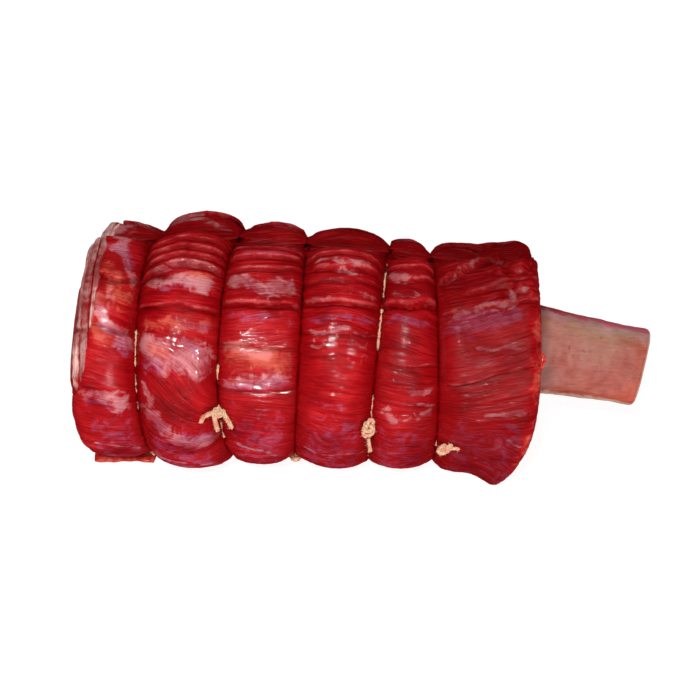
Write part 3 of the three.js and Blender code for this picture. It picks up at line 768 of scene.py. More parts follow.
def loose_shred():
    """A shred of meat that hangs over the right end's edge beside the bone."""
    angle = np.linspace(SHRED["low"], SHRED["high"], 24)
    bow = np.sin(np.linspace(0, np.pi, 24))
    x = face_x(angle) + 0.7 * bow + 0.5 * np.sin(0.9 * angle)
    out = np.stack([0 * angle, -np.cos(angle * DEG), np.sin(angle * DEG)], -1)
    size = taper(24, 0.3)
    return swept_sheet(
        "loose_shred", on_roll(x, 59.5 + 0.5 * bow, angle), (1.0, 0.0, 0.0), out, 1.7 * size,
        1.2 * size, 16, {"amber": 0.7, "wet": 0.6})


def ring_shapes(rows, steps):
    """Places along the roll, radii and angles of rings' points, which stand closer together at
    the front."""
    turn = np.arange(steps) * 360.0 / steps
    angle = turn - FRONT_DENSITY / DEG * np.sin((turn - LEAN_ANGLE) * DEG)
    found = [shape(angle) for shape, lobe in rows]
    x, radius = (np.array([ring[i] + 0 * angle for ring in found]) for i in (0, 1))
    return x, radius, np.broadcast_to(angle, x.shape)


def skin_normals(points):
    """The smooth skin's own outward directions, along which the fibres are raised."""
    across_way = np.gradient(points, axis=0)
    round_way = np.roll(points, -1, axis=1) - np.roll(points, 1, axis=1)
    out = np.cross(across_way, round_way)
    return out / np.maximum(np.linalg.norm(out, axis=-1, keepdims=True), 1e-9)


def close_skin(name, points, x, radius, grain, tissues, calm):
    """A closed piece of the meat through rings of points, ending on the roll's centre line."""
    out = skin_normals(points)
    calm = np.maximum(calm, 1 - smoothstep(points[..., 2], 0.5, 4))
    points[..., 2] = settle(points[..., 2])
    ends = []
    for ring in (0, -1):
        inset = np.sign(ring + 0.5) * 6 if radius[ring].mean() > 20 else 0
        middle = x[ring].mean() + inset
        ends.append(np.array([middle, 0.0, along_roll(np.array(middle), LOBE_HEIGHT)]))
    mesh = closed_grid(to_frame(points), to_frame(ends[0]), to_frame(ends[1]), name)
    amounts = {tissue: np.clip(tissues.get(tissue, 0 * x), 0, 1) for tissue in TISSUES}
    store(mesh, grain=grain, out=out, calm=calm, **amounts)
    return place_object(name, mesh)


def make_left_end():
    """The rolled layers that the left end shows: thin dried strips round its edge towards the
    top, and moist thicker layers with fascia between them further in."""
    x, radius, angles = ring_shapes(left_end_rows(), RING_STEPS["left"])
    place = on_roll(x, radius, angles)
    steps = np.linalg.norm(np.diff(place, axis=0), axis=-1)
    inwards = np.concatenate([np.cumsum(steps[::-1], axis=0)[::-1], 0 * x[:1]])
    across, layer, pitch = end_layers(inwards, place, angles)
    edge = np.minimum(across, 1 - across) * pitch

    # Each layer is a rounded rib. One crack runs across the strips, which are wrinkled below it.
    a = wrap_angle(angles)
    flank = 1 - smoothstep(inwards, 16, 30)
    bulge = np.sqrt(np.clip(1 - (2 * across - 1) ** 2, 0, 1)) ** 0.8
    lively = 0.9 + 0.5 * lattice_noise((angles / 14, layer * 3.3), 42)
    broad = lattice_noise(place / 17, 45)
    rib = END_LAYERS["relief"] * np.minimum(pitch / 5, 1.3) * (bulge * lively - 0.8)
    crack = bell(a - END_LAYERS["crack"] - 1.5 * broad, 1.1) * flank
    wrinkled = between(a, -20, 0, 4, END_LAYERS["crack"]) * flank
    wrinkles = lattice_noise((angles / 2.4, inwards / 9), 46)
    relief = rib + 1.2 * broad - 1.6 * crack + 0.9 * wrinkles * wrinkled
    roundness = LEFT["roundness"]
    curl = (1 - (radius / crest_radius(0, angles)) ** roundness).clip(0, 1) ** (1 / roundness)
    covered = 1 - smoothstep(curl - left_lip(angles), -0.05, 0.03)
    relief = lerp(np.minimum(relief, 0.6) - 0.2, -3.0, covered)
    place = place + skin_normals(place) * relief[..., None]

    patch = lattice_noise(place / 15, 47)
    own = lattice_noise((angles / 40, layer * 5.7), 52)
    top = between(a, 4, 20, 112, 150)
    strips = top * flank
    gap = bell(edge, 0.5)
    fascia = 0.6 * bell(edge - 0.8, 0.6) * (1 - flank)
    moist = (0.32 + 0.3 * lattice_noise(place / 22, 48)) * (1 - strips)
    moist = np.maximum(moist, 0.55 * smoothstep(-own, 0.1, 0.6) * strips)
    dried = (0.85 + 0.3 * own) * strips + 0.45 * smoothstep(patch, 0.35, 0.8)
    # Painted shade darkens the gaps between the layers and the crack; the moist layers are darker meat,
    # and purple is partly a painted sheen.
    tissues = {
        "silver": fascia + 0.7 * smoothstep(patch, 0.3, 0.9),
        "dark": np.maximum(0.95 * gap, np.maximum(0.8 * crack, moist)),
        "dried": dried * (1 - 0.6 * gap),
        "purple": smoothstep(lattice_noise(place / 13, 49), 0.3, 0.8) * (1 - strips),
        "amber": 0.7 * smoothstep(lattice_noise(place / 16, 50), 0.4, 0.9) * (1 - flank),
        "wet": smoothstep(lattice_noise(place / 12, 51), 0.1, 0.7) * (1 - 0.7 * strips),
    }
    grain = np.stack([angles * DEG * radius * 0.1 + layer * 7.7, inwards, x], -1)
    return close_skin("rolled_end", place, x, radius, grain, tissues, 0.45 + 0 * x)


def make_right_end():
    """The cut face round the bone: each muscle domed in its own fascia, finely grained where its
    fibres were cut across."""
    x, radius, angles = ring_shapes(right_end_rows(), RING_STEPS["right"])
    from_fascia, from_bone = face_muscles(radius, angles)
    place = on_roll(x, radius, angles)
    flecks = lattice_noise(place / 5, 49) + 0.5 * lattice_noise(place / 2.2, 50)
    fascia = 0.95 * bell(from_fascia - 0.7, 0.75)
    round_bone = 0.9 * bell(from_bone - 1.5, 1.6)
    gap = 0.8 * bell(from_fascia, 0.35)
    cloud = 0.25 + 0.25 * lattice_noise(place / 20, 52)
    beside_bone = 0.9 * np.exp(-np.maximum(from_bone, 0) / 0.8)
    # Painted shade darkens the grooves between the domed muscles; the face is also darker beside the
    # bone and in broad clouds.
    tissues = {
        "silver": np.maximum(fascia, round_bone),
        "dark": np.maximum(np.maximum(gap, cloud), beside_bone),
        "lip": smoothstep(flecks, 0.75, 1.1),
        "amber": 0.8 * smoothstep(lattice_noise(place / 14, 53), 0.45, 0.9),
    }
    return close_skin("cut_face", place, x, radius, place * 0.8, tissues, 0.8 + 0 * x)


def make_side():
    """The side of the roll: six lobes of overlapping muscle, drawn in at the loops."""
    rows = side_rows()
    x, radius, angles = ring_shapes(rows, RING_STEPS["side"])
    a = wrap_angle(angles)
    lobe_of = np.array([lobe for shape, lobe in rows])
    across = np.zeros_like(x)
    layers = np.zeros((4, *x.shape))
    for lobe in range(6):
        rings = lobe_of == lobe
        start, end = lobe_ends(lobe, angles[0])
        across[rings] = (x[rings] - start) / (end - start)
        ragged = 1.1 * lattice_noise((x[rings] / 9, angles[rings] / 60), 7 + lobe)
        layers[:, rings] = layer_height(lobe, across[rings], angles[rings] + ragged)
    height, order, painted_ledge_shade, painted_lip_highlight = layers
    first, last = (lobe_of == 0)[:, None], (lobe_of == 5)[:, None]
    near_tie = np.where(last, across < 0.5, np.where(first, across > 0.5, True))
    crease = np.clip(1 - np.abs(2 * across - 1), 0, 1)
    rise = np.where(near_tie, smoothstep(crease, 0.0, 0.12), 1.0)

    radius = radius - RELIEF_DEPTH + height * rise - dent_depth(x, angles)
    radius = radius + muscle_swell(x, radius, angles) * rise
    radius = knot_bed(x, radius, angles)
    points = on_roll(x, radius, angles)

    # Fibres run along the roll; each layer has its own, which start at the layer's edge.
    c, s = np.cos(angles * DEG), np.sin(angles * DEG)
    sway = angles + 9 * lattice_noise((x / 70, c * 1.3, s * 1.3), 3)
    for lobe, middle, spread, turn in FANS:
        near = bell(a - middle, spread) * (lobe_of == lobe)[:, None]
        sway = sway - turn * near * across
    sway = sway * DEG
    grain = np.stack([x * 0.1 + order * 5.3, SKIN_RADIUS * np.cos(sway), SKIN_RADIUS * np.sin(sway)], -1)

    tissues = {name: np.zeros_like(x) for name in TISSUES}
    tissues["wet"] = 0.5 * smoothstep(lattice_noise(points / 13, 35), 0.15, 0.7)
    for tissue, lobe, run, half_width, strength in STREAKS + BACK_STREAKS:
        rings = lobe_of == lobe
        spread = streak_strength(lobe, run, half_width, x[rings], angles[rings])
        spread = spread * lerp(0.35, 1.0, smoothstep(crease[rings], 0.04, 0.35))
        tissues[tissue][rings] = np.maximum(tissues[tissue][rings], strength * spread)

    # Painted shade darkens the seam, the mounds behind it and the right lobes; the meat is also darker
    # low down.
    mound = between(a, 88, 96, 130, 165)
    mound = mound * (1 - 0.9 * first * (1 - smoothstep(across, 0.12, 0.4)))
    seam = smoothstep(seam_dip(lobe_of[:, None], angles), 3, 10)
    depth = 0.9 * seam + along_roll(x, LOBE_PAINTED_SHADE) + 0.6 * mound
    depth = lerp(depth, 0.3 * depth, np.exp(-crease / 0.2) * near_tie)
    low = smoothstep(-a, -16, 12) * smoothstep(crease, 0.1, 0.4)
    depth = depth + 0.12 * low * (1 - smoothstep(-np.abs(x - LOBE_MIDDLES[1]), -26, -16))

    # Fat and a paler edge show at the right end's rim.
    ragged = 2.6 * lattice_noise((angles / 5, x / 9), 36)
    rim_band = last * (1 - smoothstep(face_x(angles) - x + ragged, 3, 8)) * smoothstep(-a, -64, -50)
    # Painted shade under the folds' edges joins the dark mask.
    dark = np.maximum(tissues["dark"], np.maximum(np.clip(depth, 0, 1), painted_ledge_shade))
    tissues["dark"] = dark * (1 - 0.8 * rim_band)
    tissues["amber"] = np.maximum(tissues["amber"], 0.55 * rim_band)
    tissues["purple"] = np.maximum(tissues["purple"], 0.56 * low)
    tissues["wet"] = tissues["wet"] * along_roll(x, LOBE_WETNESS)
    # Painted shade in the creases between the lobes.
    tissues["creased"] = np.exp(-((crease / 0.32) ** 1.5)) * near_tie
    # A painted highlight along each fold's lip.
    tissues["lip"] = painted_lip_highlight * rise
    pucker = 1.3 * (1 - smoothstep(crease, 0.1, 0.55)) * near_tie
    ledges = between(a, 52, 60, 80, 88)
    calm = 0.6 * np.clip(tissues["silver"], 0, 1) + 0.4 * rim_band + 0.5 * ledges - 0.9 * pucker
    return close_skin("rolled_meat", points, x, radius, grain, tissues, calm)


# Node trees

MATH = "ShaderNodeMath"
VECTOR_MATH = "ShaderNodeVectorMath"
MIX = "ShaderNodeMix"
RANGE = "ShaderNodeMapRange"
NOISE = "ShaderNodeTexNoise"
PLACE = "ShaderNodeTexCoord"
MAPPING = "ShaderNodeMapping"
ATTRIBUTE = "ShaderNodeAttribute"
BUMP = "ShaderNodeBump"
STORED = "GeometryNodeInputNamedAttribute"
MOVE = "GeometryNodeSetPosition"
JOIN = "GeometryNodeJoinGeometry"
SWEEP = "GeometryNodeCurveToMesh"
CIRCLE = "GeometryNodeCurvePrimitiveCircle"
RANDOM = "FunctionNodeRandomValue"


def linear(colour):
    """An sRGB hex colour as linear RGBA."""
    channels = [int(colour[i:i + 2], 16) / 255 for i in (1, 3, 5)]
    return [c / 12.92 if c <= 0.04045 else ((c + 0.055) / 1.055) ** 2.4 for c in channels] + [1.0]


def add(tree, kind, inputs=(), out=0, **settings):
    """Adds a node and gives one of its outputs. Inputs go by number, or by name as a setting with
    a capital; the other settings are the node's properties. An input is a value, a colour in sRGB
    hex, or the socket that it is linked from."""
    node = tree.nodes.new(kind)
    inputs = dict(inputs if isinstance(inputs, dict) else enumerate(inputs))
    for name, value in settings.items():
        if name[0].isupper():
            inputs[name.replace("_", " ")] = value
        else:
            setattr(node, name, value)
    for name, value in inputs.items():
        if isinstance(value, bpy.types.NodeSocket):
            tree.links.new(value, node.inputs[name])
        else:
            colour = isinstance(value, str) and value.startswith("#")
            node.inputs[name].default_value = linear(value) if colour else value
    return node.outputs[out]


def new_material(name, **numbers):
    """A material, its nodes and its shader's inputs, of which some get a number or a colour that
    is the same all over the surface."""
    material = bpy.data.materials.new(name)
    material.use_nodes = True
    shader = material.node_tree.nodes["Principled BSDF"].inputs
    for socket, number in numbers.items():
        shader[socket.replace("_", " ")].default_value = number
    return material, material.node_tree, shader


def uneven(tree, value, *patterns):
    """A value with patterns added, each moved to run either side of zero, times its amount."""
    for pattern, amount in patterns:
        moved = add(tree, MATH, (pattern, amount, -0.5 * amount), operation="MULTIPLY_ADD")
        value = add(tree, MATH, (value, moved), operation="ADD")
    return value


def lay(tree, below, above, cover, limits=None):
    """Lays one colour on another as far as a pattern says, or where a value lies between two
    limits, up to a given strength."""
    if limits:
        low, high, strength = limits
        cover = add(tree, RANGE, Value=cover, From_Min=low, From_Max=high, To_Max=strength)
    return add(tree, MIX, {0: cover, 6: below, 7: above}, out=2, data_type="RGBA")


def dress(tree, shader, colour, heights, depth, strength):
    """Gives a shader its colour and the fine relief of the surface, with its depth in metres."""
    tree.links.new(colour, shader["Base Color"])
    relief = add(tree, BUMP, Height=heights, Distance=depth, Strength=strength)
    tree.links.new(relief, shader["Normal"])


def meat_material():
    """Fresh beef: wet red muscle fibres, with sheets and streaks of silverskin, fat, dried edges
    and purple, partly purplish tissue and partly a painted sheen, lying on them. Painted shade
    darkens the creases, seams and gaps, and a painted highlight runs along the folds' lips. The wet
    film gives many small glints."""
    material, tree, shader = new_material(
        "raw_beef_muscle", Roughness=0.4, IOR=1.4, Specular_IOR_Level=0.05,
        Coat_Roughness=0.05, Coat_IOR=1.6, Subsurface_Weight=0.3,
        Subsurface_Radius=(1.0, 0.16, 0.12), Subsurface_Scale=0.0022)
    grain = add(tree, ATTRIBUTE, out="Vector", attribute_name="grain")
    place = add(tree, PLACE, out="Object")
    bundle = add(tree, NOISE, Vector=grain, Scale=1 / 3.0, Detail=1.0)
    fibre = add(tree, NOISE, Vector=grain, Scale=1 / 0.9, Detail=2.0, Roughness=0.6)
    cloud = add(tree, NOISE, Vector=place, Scale=1 / 0.02, Detail=2.0)
    wisps = add(tree, NOISE, Vector=place, Scale=1 / 0.008, Detail=4.0, Roughness=0.6, Distortion=1.2)
    combed = add(tree, MAPPING, Vector=grain, Scale=(2.0, 1.0, 1.0))
    combed = add(tree, NOISE, Vector=combed, Scale=1 / 2.2, Detail=3.0, Roughness=0.6, Distortion=0.6)
    tone = uneven(tree, 0.5, (bundle, 0.35), (fibre, 0.75), (cloud, 0.95))
    colour = add(tree, "ShaderNodeValToRGB", Fac=tone)
    ramp = colour.node.color_ramp
    for position, shade in ((0.2, "#720308"), (0.42, "#99080f"), (0.6, "#b01118"), (0.85, "#c8272d")):
        ramp.elements.new(position).color = linear(shade)
    ramp.elements.remove(ramp.elements[0])
    ramp.elements.remove(ramp.elements[-1])

    # Each tissue: its colours in the hollows and on the ridges, how ragged its edge is, and how
    # much of the muscle it hides.
    finishes = [
        ("silver", "#a84450", "#dc9a9e", 1.2, 0.74),
        ("amber", "#b4281f", "#dc6a54", 1.1, 0.58),
        # Purple is partly purplish tissue and partly a painted sheen.
        ("purple", "#741a3a", "#ab5a80", 1.2, 0.5),
        ("dried", "#a25a58", "#e6bab2", 0.6, 0.9),
        # Lip is a painted highlight along the folds' lips on the side, and pale flecks on the cut end.
        ("lip", "#b02026", "#d66c6c", 1.0, 0.6),
    ]
    ridges = uneven(tree, wisps, (fibre, 0.7), (cloud, 1.2))
    for name, hollow, ridge, ragged, hiding in finishes:
        amount = add(tree, ATTRIBUTE, out="Fac", attribute_name=name)
        torn = uneven(tree, amount, (wisps, 1.5 * ragged), (combed, 0.5 * ragged))
        cover = add(tree, RANGE, Value=torn, From_Min=0.42, From_Max=0.8, To_Max=hiding)
        there = add(tree, MATH, (amount, 4.0), operation="MULTIPLY", use_clamp=True)
        cover = add(tree, MATH, (cover, there), operation="MULTIPLY")
        colour = lay(tree, colour, lay(tree, hollow, ridge, ridges, (0.3, 0.7, 1.0)), cover)
    # Painted shade: in the creases, and with darker meat in the dark mask, in the seams, on the mounds
    # and right lobes, under the folds and in the ends' gaps.
    for name, strength, shade in (("creased", 0.88, "#800105"), ("dark", 0.8, "#660002")):
        amount = add(tree, ATTRIBUTE, out="Fac", attribute_name=name)
        colour = lay(tree, colour, shade, amount, (0.0, 1.0, strength))

    valley = add(tree, MATH, (bundle, 0.5), operation="SUBTRACT")
    valley = add(tree, MATH, (valley,), operation="ABSOLUTE")
    dress(tree, shader, colour, uneven(tree, valley, (fibre, 0.6)), 0.0012, 0.8)

    # The wet film lies thickest on the wet places, and ripples over short stretches of fibre.
    short = add(tree, MAPPING, Vector=grain, Scale=(3.4, 1.0, 1.0))
    film = add(tree, NOISE, Vector=short, Scale=1 / 1.5, Detail=1.0, Roughness=0.5, Distortion=0.3)
    tree.links.new(add(tree, BUMP, Height=film, Distance=0.00042), shader["Coat Normal"])
    wet = add(tree, ATTRIBUTE, out="Fac", attribute_name="wet")
    tree.links.new(add(tree, RANGE, Value=wet, To_Min=0.015, To_Max=0.28), shader["Coat Weight"])
    return material


def new_tree(name, *sizes):
    """A geometry tree and its inputs: the geometry, sizes by name, and a seed."""
    tree = bpy.data.node_groups.new(name, "GeometryNodeTree")
    tree.interface.new_socket("Geometry", in_out="OUTPUT", socket_type="NodeSocketGeometry")
    kinds = {"Geometry": "NodeSocketGeometry", **dict.fromkeys(sizes, "NodeSocketFloat")}
    for socket, kind in {**kinds, "Seed": "NodeSocketInt"}.items():
        tree.interface.new_socket(socket, in_out="INPUT", socket_type=kind)
    return tree, add(tree, "NodeGroupInput").node.outputs


def end_tree(tree, geometry, material):
    """Makes the geometry real and gives it its material."""
    real = add(tree, "GeometryNodeRealizeInstances", Geometry=geometry)
    finished = add(tree, "GeometryNodeSetMaterial", Geometry=real, Material=material)
    tree.links.new(finished, tree.nodes.new("NodeGroupOutput").inputs[0])
    return tree


def relief_tree(material):
    """Raises bundles of fibres on a skin: rounded ridges with sharp valleys between them."""
    tree, given = new_tree(
        "fibre_relief", "Bundle spacing", "Bundle height", "Strand spacing", "Strand height")
    grain = add(tree, STORED, Name="grain", data_type="FLOAT_VECTOR")
    out = add(tree, STORED, Name="out", data_type="FLOAT_VECTOR")
    calm = add(tree, STORED, Name="calm", data_type="FLOAT")
    height = 0.0
    for size in ("Bundle", "Strand"):
        scale = add(tree, MATH, (1.0, given[size + " spacing"]), operation="DIVIDE")
        noise = add(
            tree, NOISE, Vector=grain, W=given["Seed"], Scale=scale, Detail=1.0,
            noise_dimensions="4D")
        ridge = add(tree, MATH, (noise, 0.5), operation="SUBTRACT")
        ridge = add(tree, MATH, (ridge,), operation="ABSOLUTE")
        height = add(tree, MATH, (ridge, given[size + " height"], height), operation="MULTIPLY_ADD")
    lively = add(tree, MATH, (1.0, calm), operation="SUBTRACT")
    height = add(tree, MATH, (height, lively), operation="MULTIPLY")
    offset = add(tree, VECTOR_MATH, (out,), Scale=height, operation="SCALE")
    return end_tree(tree, add(tree, MOVE, Geometry=given["Geometry"], Offset=offset), material)


def apply_tree(piece, tree, values):
    """Runs a geometry tree on a piece with its named inputs, and keeps the plain mesh."""
    modifier = piece.modifiers.new(tree.name, "NODES")
    modifier.node_group = tree
    for item in tree.interface.items_tree:
        if item.in_out == "INPUT" and item.name in values:
            modifier[item.identifier] = values[item.name]
    graph = bpy.context.evaluated_depsgraph_get()
    graph.update()
    plain = bpy.data.meshes.new_from_object(piece.evaluated_get(graph), depsgraph=graph)
    name = piece.name
    bpy.data.objects.remove(piece)
    plain.name = name
    return place_object(name, plain)


def hand_over(piece, slot, *nodes):
    """Hides the frame's parts that a finished piece replaces, and attaches it to the root body to move
    with. Its slot is not used.
    """
    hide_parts(*nodes)
    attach(piece, "root")


# The bone and its marrow

def bone_rise(back):
    bent = np.maximum(back - BONE["straight"], 0) / BONE["bend"]
    run = np.minimum(back, BONE["straight"]) + BONE["bend"] * (1 - np.exp(-bent))
    return run * math.sin(BONE["slope"] * DEG)


def bone_section(back, width, thickness, turn):
    """Points of an oval section of the shaft, at a distance back from the sawn end, whose cut
    leans so that the lower edge is shorter."""
    slope = BONE["slope"] * DEG
    along = np.array([math.cos(slope), 0, -math.sin(slope)])
    broad = np.array([0, -math.cos(BONE["face"] * DEG), math.sin(BONE["face"] * DEG)])
    side = np.cross(along, broad)
    side = side / np.linalg.norm(side)
    broad = np.cross(side, along)
    power = 2 / BONE["squareness"]
    swell = lerp(BONE["taper"], 1.0, smoothstep(back, 0, BONE["taper_length"]))
    slant = math.tan(BONE["cut"] * DEG) * (1 - smoothstep(back, 0, BONE["cut_fade"]))
    c, s = np.cos(turn), np.sin(turn)
    deep = thickness / 2 * swell * np.sign(c) * np.abs(c) ** power
    wide = width / 2 * swell * np.sign(s) * np.abs(s) ** power
    behind = back + wide * slant
    points = np.array(BONE["end"]) - behind[..., None] * along
    points = points + deep[..., None] * broad + wide[..., None] * side
    points[..., 2] += bone_rise(back) - back * math.sin(slope)
    return points


def find_roll_origin():
    """The roll's own origin in the frame, from the bone's sawn end and its middle."""
    low, high = (np.array(corner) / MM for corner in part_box("bone"))
    turn = np.linspace(0, 2 * np.pi, 97)
    sawn_end = bone_section(0.0, BONE["width"], BONE["thickness"], turn)
    return np.array([high[0] - sawn_end[:, 0].max(), (low[1] + high[1]) / 2, 0.0])


ROLL_ORIGIN = find_roll_origin()


def make_shaft(name, rows, turns):
    """A closed shaft through oval sections given as (back, width, thickness, roughness)."""
    turn = np.arange(turns) * 2 * np.pi / turns
    c, s = np.cos(turn), np.sin(turn)
    rings = []
    for back, width, thickness, rough in rows:
        lumps = 0.7 * lattice_noise((back / 14, 3.2 * c, 3.2 * s), 21)
        lumps = lumps + 0.25 * lattice_noise((back / 3.5, 7 * c, 7 * s), 22)
        grown = 2 * rough * lumps
        rings.append(bone_section(back, width + grown, thickness + grown, turn))
    ends = [bone_section(rows[i][0], 0, 0, turn[:1])[0] for i in (0, -1)]
    mesh = closed_grid(to_frame(np.array(rings)), to_frame(ends[0]), to_frame(ends[1]), name)
    back, edge = np.broadcast_arrays(np.array([row[0] for row in rows])[:, None], s)
    store(mesh, back=back, edge=edge)
    return mesh


def make_bone():
    """The shaft from its inner end to the sawn face, then in over the face to the marrow canal."""
    width, thickness, length = BONE["width"], BONE["thickness"], BONE["length"]
    canal = (MARROW["width"] + CANAL_GAP, MARROW["thickness"] + CANAL_GAP)
    shaft = (*np.linspace(length - 2, 110, 12), *np.linspace(106, SAWN_EDGE + 1.0, 66))
    rows = [(length, f * width, f * thickness, 0.0) for f in (0.4, 0.8, 0.97)]
    rows += [(back, width, thickness, 1.0) for back in shaft]
    for turn in (0, 30, 60, 90):
        back = SAWN_EDGE * (1 - math.sin(turn * DEG))
        lost = 2 * SAWN_EDGE * (1 - math.cos(turn * DEG))
        rows.append((back, width - lost, thickness - lost, 0.6))
    for t in (0.3, 0.6, 0.85, 1.0):
        across = [lerp(size - 2 * SAWN_EDGE, hole, t) for size, hole in zip((width, thickness), canal)]
        rows.append((0.0, *across, 0.3))
    rows += [(back, *canal, 0.0) for back in np.linspace(1, length - 14, 12)]
    return make_shaft("shank_bone", rows, 96)


def make_marrow():
    width, thickness = MARROW["width"], MARROW["thickness"]
    rows = [(BONE["length"] - 14.4, f * width, f * thickness, 0.0) for f in (0.5, 0.95)]
    rows += [(back, width, thickness, 0.0) for back in np.linspace(BONE["length"] - 16, 4, 12)]
    for f in (1.0, 0.93, 0.8, 0.6, 0.35, 0.12):
        rows.append((MARROW["recess"] + 1.2 * f ** 4, f * width, f * thickness, 0.0))
    return make_shaft("bone_marrow", rows, 64)


def bone_material():
    """Living bone with its skin scraped off: pink to tan, damp, with fine lengthwise grooves, a
    dark red line of tissue along its upper edge, and a pale dry rim where the saw cut it."""
    material, tree, shader = new_material(
        "scraped_bone", Roughness=0.5, Specular_IOR_Level=0.25, Coat_Weight=0.05, Coat_Roughness=0.3,
        Subsurface_Weight=0.1, Subsurface_Radius=(1.0, 0.4, 0.3), Subsurface_Scale=0.002)
    place = add(tree, PLACE, out="Object")
    back = add(tree, ATTRIBUTE, out="Fac", attribute_name="back")
    edge = add(tree, ATTRIBUTE, out="Fac", attribute_name="edge")
    long_grain = add(tree, MAPPING, Vector=place, Scale=(0.15, 1.0, 1.0))
    grooves = add(tree, NOISE, Vector=long_grain, Scale=1 / 0.0014, Detail=3.0, Roughness=0.6)
    mottle = add(tree, NOISE, Vector=place, Scale=1 / 0.012, Detail=4.0, Roughness=0.6)
    patches = add(tree, NOISE, Vector=place, Scale=1 / 0.03, Detail=3.0)
    pits = add(tree, NOISE, Vector=place, Scale=1 / 0.005, Detail=1.0)
    up = add(tree, MATH, (edge, -1.0), operation="MULTIPLY")
    inner = add(tree, RANGE, Value=back, From_Min=26.0, From_Max=62.0)
    near_saw = add(tree, RANGE, Value=back, From_Min=32.0, From_Max=4.0)
    sawn = add(tree, RANGE, Value=back, From_Min=2.4, From_Max=0.2)
    low_corner = add(tree, MATH, (near_saw, edge), operation="ADD")
    tone = add(tree, "ShaderNodeClamp", Value=uneven(tree, 0.5, (mottle, 1.6), (grooves, 1.0)))
    colour = lay(tree, "#82261a", "#ac5440", tone)

    # Tan, grey-pink, bloody, dark spots painted as the shade of pits, bruised, then the tissue line,
    # the lower rim and the saw's cut. Each has where it lies, the patterns that make its edge uneven,
    # the values between which it fades in and its strength, and the pattern that it is coloured by.
    layers = [
        (up, [(patches, 2.0)], (0.0, 0.75, 0.85), grooves, "#78543f", "#a57e64"),
        (inner, [(mottle, 1.6), (patches, 1.4)], (0.35, 0.9, 0.8), grooves, "#82443a", "#ac6656"),
        (low_corner, [(mottle, 1.6)], (1.0, 1.75, 0.75), mottle, "#a8301c", "#c45a3c"),
        # Dark spots: the painted shade of small pits.
        (pits, [], (0.69, 0.74, 0.6), mottle, "#6a3230", "#6a3230"),
        (up, [(mottle, 0.9)], (0.52, 0.82, 0.75), mottle, "#5c3440", "#be9496"),
        (up, [(mottle, 0.5)], (0.80, 0.87, 0.95), inner, "#b8505c", "#850a1a"),
        (edge, [(mottle, 0.3)], (0.84, 0.92, 0.85), mottle, "#b07c6c", "#dcb4a2"),
        (sawn, [(mottle, 0.8)], (0.4, 0.8, 0.8), mottle, "#b48474", "#dcb8a6"),
    ]
    for where, patterns, limits, pattern, hollow, ridge in layers:
        cover = uneven(tree, where, *patterns)
        colour = lay(tree, colour, lay(tree, hollow, ridge, pattern), cover, limits)
    dress(tree, shader, colour, uneven(tree, grooves, (mottle, 1.5)), 0.0006, 0.6)
    return material


def marrow_material():
    """Marrow: soft pink fat with blood in its pores, sawn flush and slightly sunk."""
    material, tree, shader = new_material(
        "bone_marrow", Roughness=0.4, Subsurface_Weight=0.2, Subsurface_Scale=0.002)
    place = add(tree, PLACE, out="Object")
    pores = add(tree, "ShaderNodeTexVoronoi", Vector=place, Scale=1 / 0.0016)
    mottle = add(tree, NOISE, Vector=place, Scale=1 / 0.005, Detail=3.0)
    pale = lay(tree, "#c4746a", "#e8b8a2", mottle)
    dress(tree, shader, lay(tree, "#9c3a38", pale, pores, (0.1, 0.5, 1.0)), pores, 0.0005, 0.6)
    return material


# The twine

# Three plies are laid into a twine of 2 mm, and go round once in their lay length.
LAY_LENGTH = 5.5 * MM
LAID_TWINE = {
    "Ply radius": 0.52 * MM, "Lay length": LAY_LENGTH, "Point spacing": LAY_LENGTH / 8,
    "Hair length": 1.6, "Hair density": 2.0e5,
}

# The knots in their own frame (along the roll, round it, and outward): the half sizes of the
# knotted cord, where it lies, how far it is turned, the turns wrapped round it, how much thicker
# than the loop its loosened cord is, and its loose ends.
KNOTS = [
    {"core": (2.8, 2.0), "at": (0, 0, 0.6), "turn": 20, "wraps": 1, "thick": 1.4, "tails": [
        [(1.5, 0, 0.5), (4, 2, 1.5), (5, 6, 1), (4, 10, 0.5)],
        [(-1.5, 0, 0.5), (-3, -4, 0.5), (-2, -7, 0)]]},
    {"core": (3.0, 2.0), "at": (0.3, 2.6, 1.4), "turn": 10, "wraps": 0, "thick": 1.9, "tails": [
        [(-0.5, 3.0, 2.6), (-2.8, 3.6, 3.2), (-4.9, 2.8, 3.4), (-7.7, 0.7, 3.4), (-9.3, -3.0, 3.0)],
        [(0.8, 3.4, 2.8), (2.7, 3.7, 2.8), (5.0, -1.3, 2.2), (7.1, -7.8, 1.4)],
        [(-1.7, 1.5, 2.6), (-1.7, -0.2, 2.6), (-1.2, -4.7, 2.4), (-0.6, -9.5, 1.6)]]},
    {"core": (2.8, 2.0), "at": (0, 0, 0.6), "turn": 10, "wraps": 1, "thick": 1.4, "tails": [
        [(1, 0, 0.5), (2, 4, 1.5), (0, 8, 1.5), (1.5, 12, 0.6)],
        [(-1.5, 0, 0.5), (-3, -4, 0.5), (-2, -7, 0)]]},
    {"core": (7.0, 2.8), "at": (-0.8, 3.8, 1.4), "turn": 80, "wraps": 2, "thick": 1.25, "tails": [
        [(-0.9, -4.5, 1.0), (-0.6, -8.5, 0.6), (-0.2, -12.5, -0.2), (0.3, -16.5, -1.6)]]},
    {"core": (5.2, 2.4), "at": (4.6, 4.6, 1.4), "turn": 50, "wraps": 1, "thick": 1.25, "tails": [
        [(6.0, 6.0, 2.0), (8.0, 7.0, 2.6), (10.5, 7.2, 2.6), (12.5, 6.3, 2.4)],
        [(2.5, 1.0, 2.4), (5.0, 5.0, 3.4), (7.0, 9.0, 2.0)]]},
]


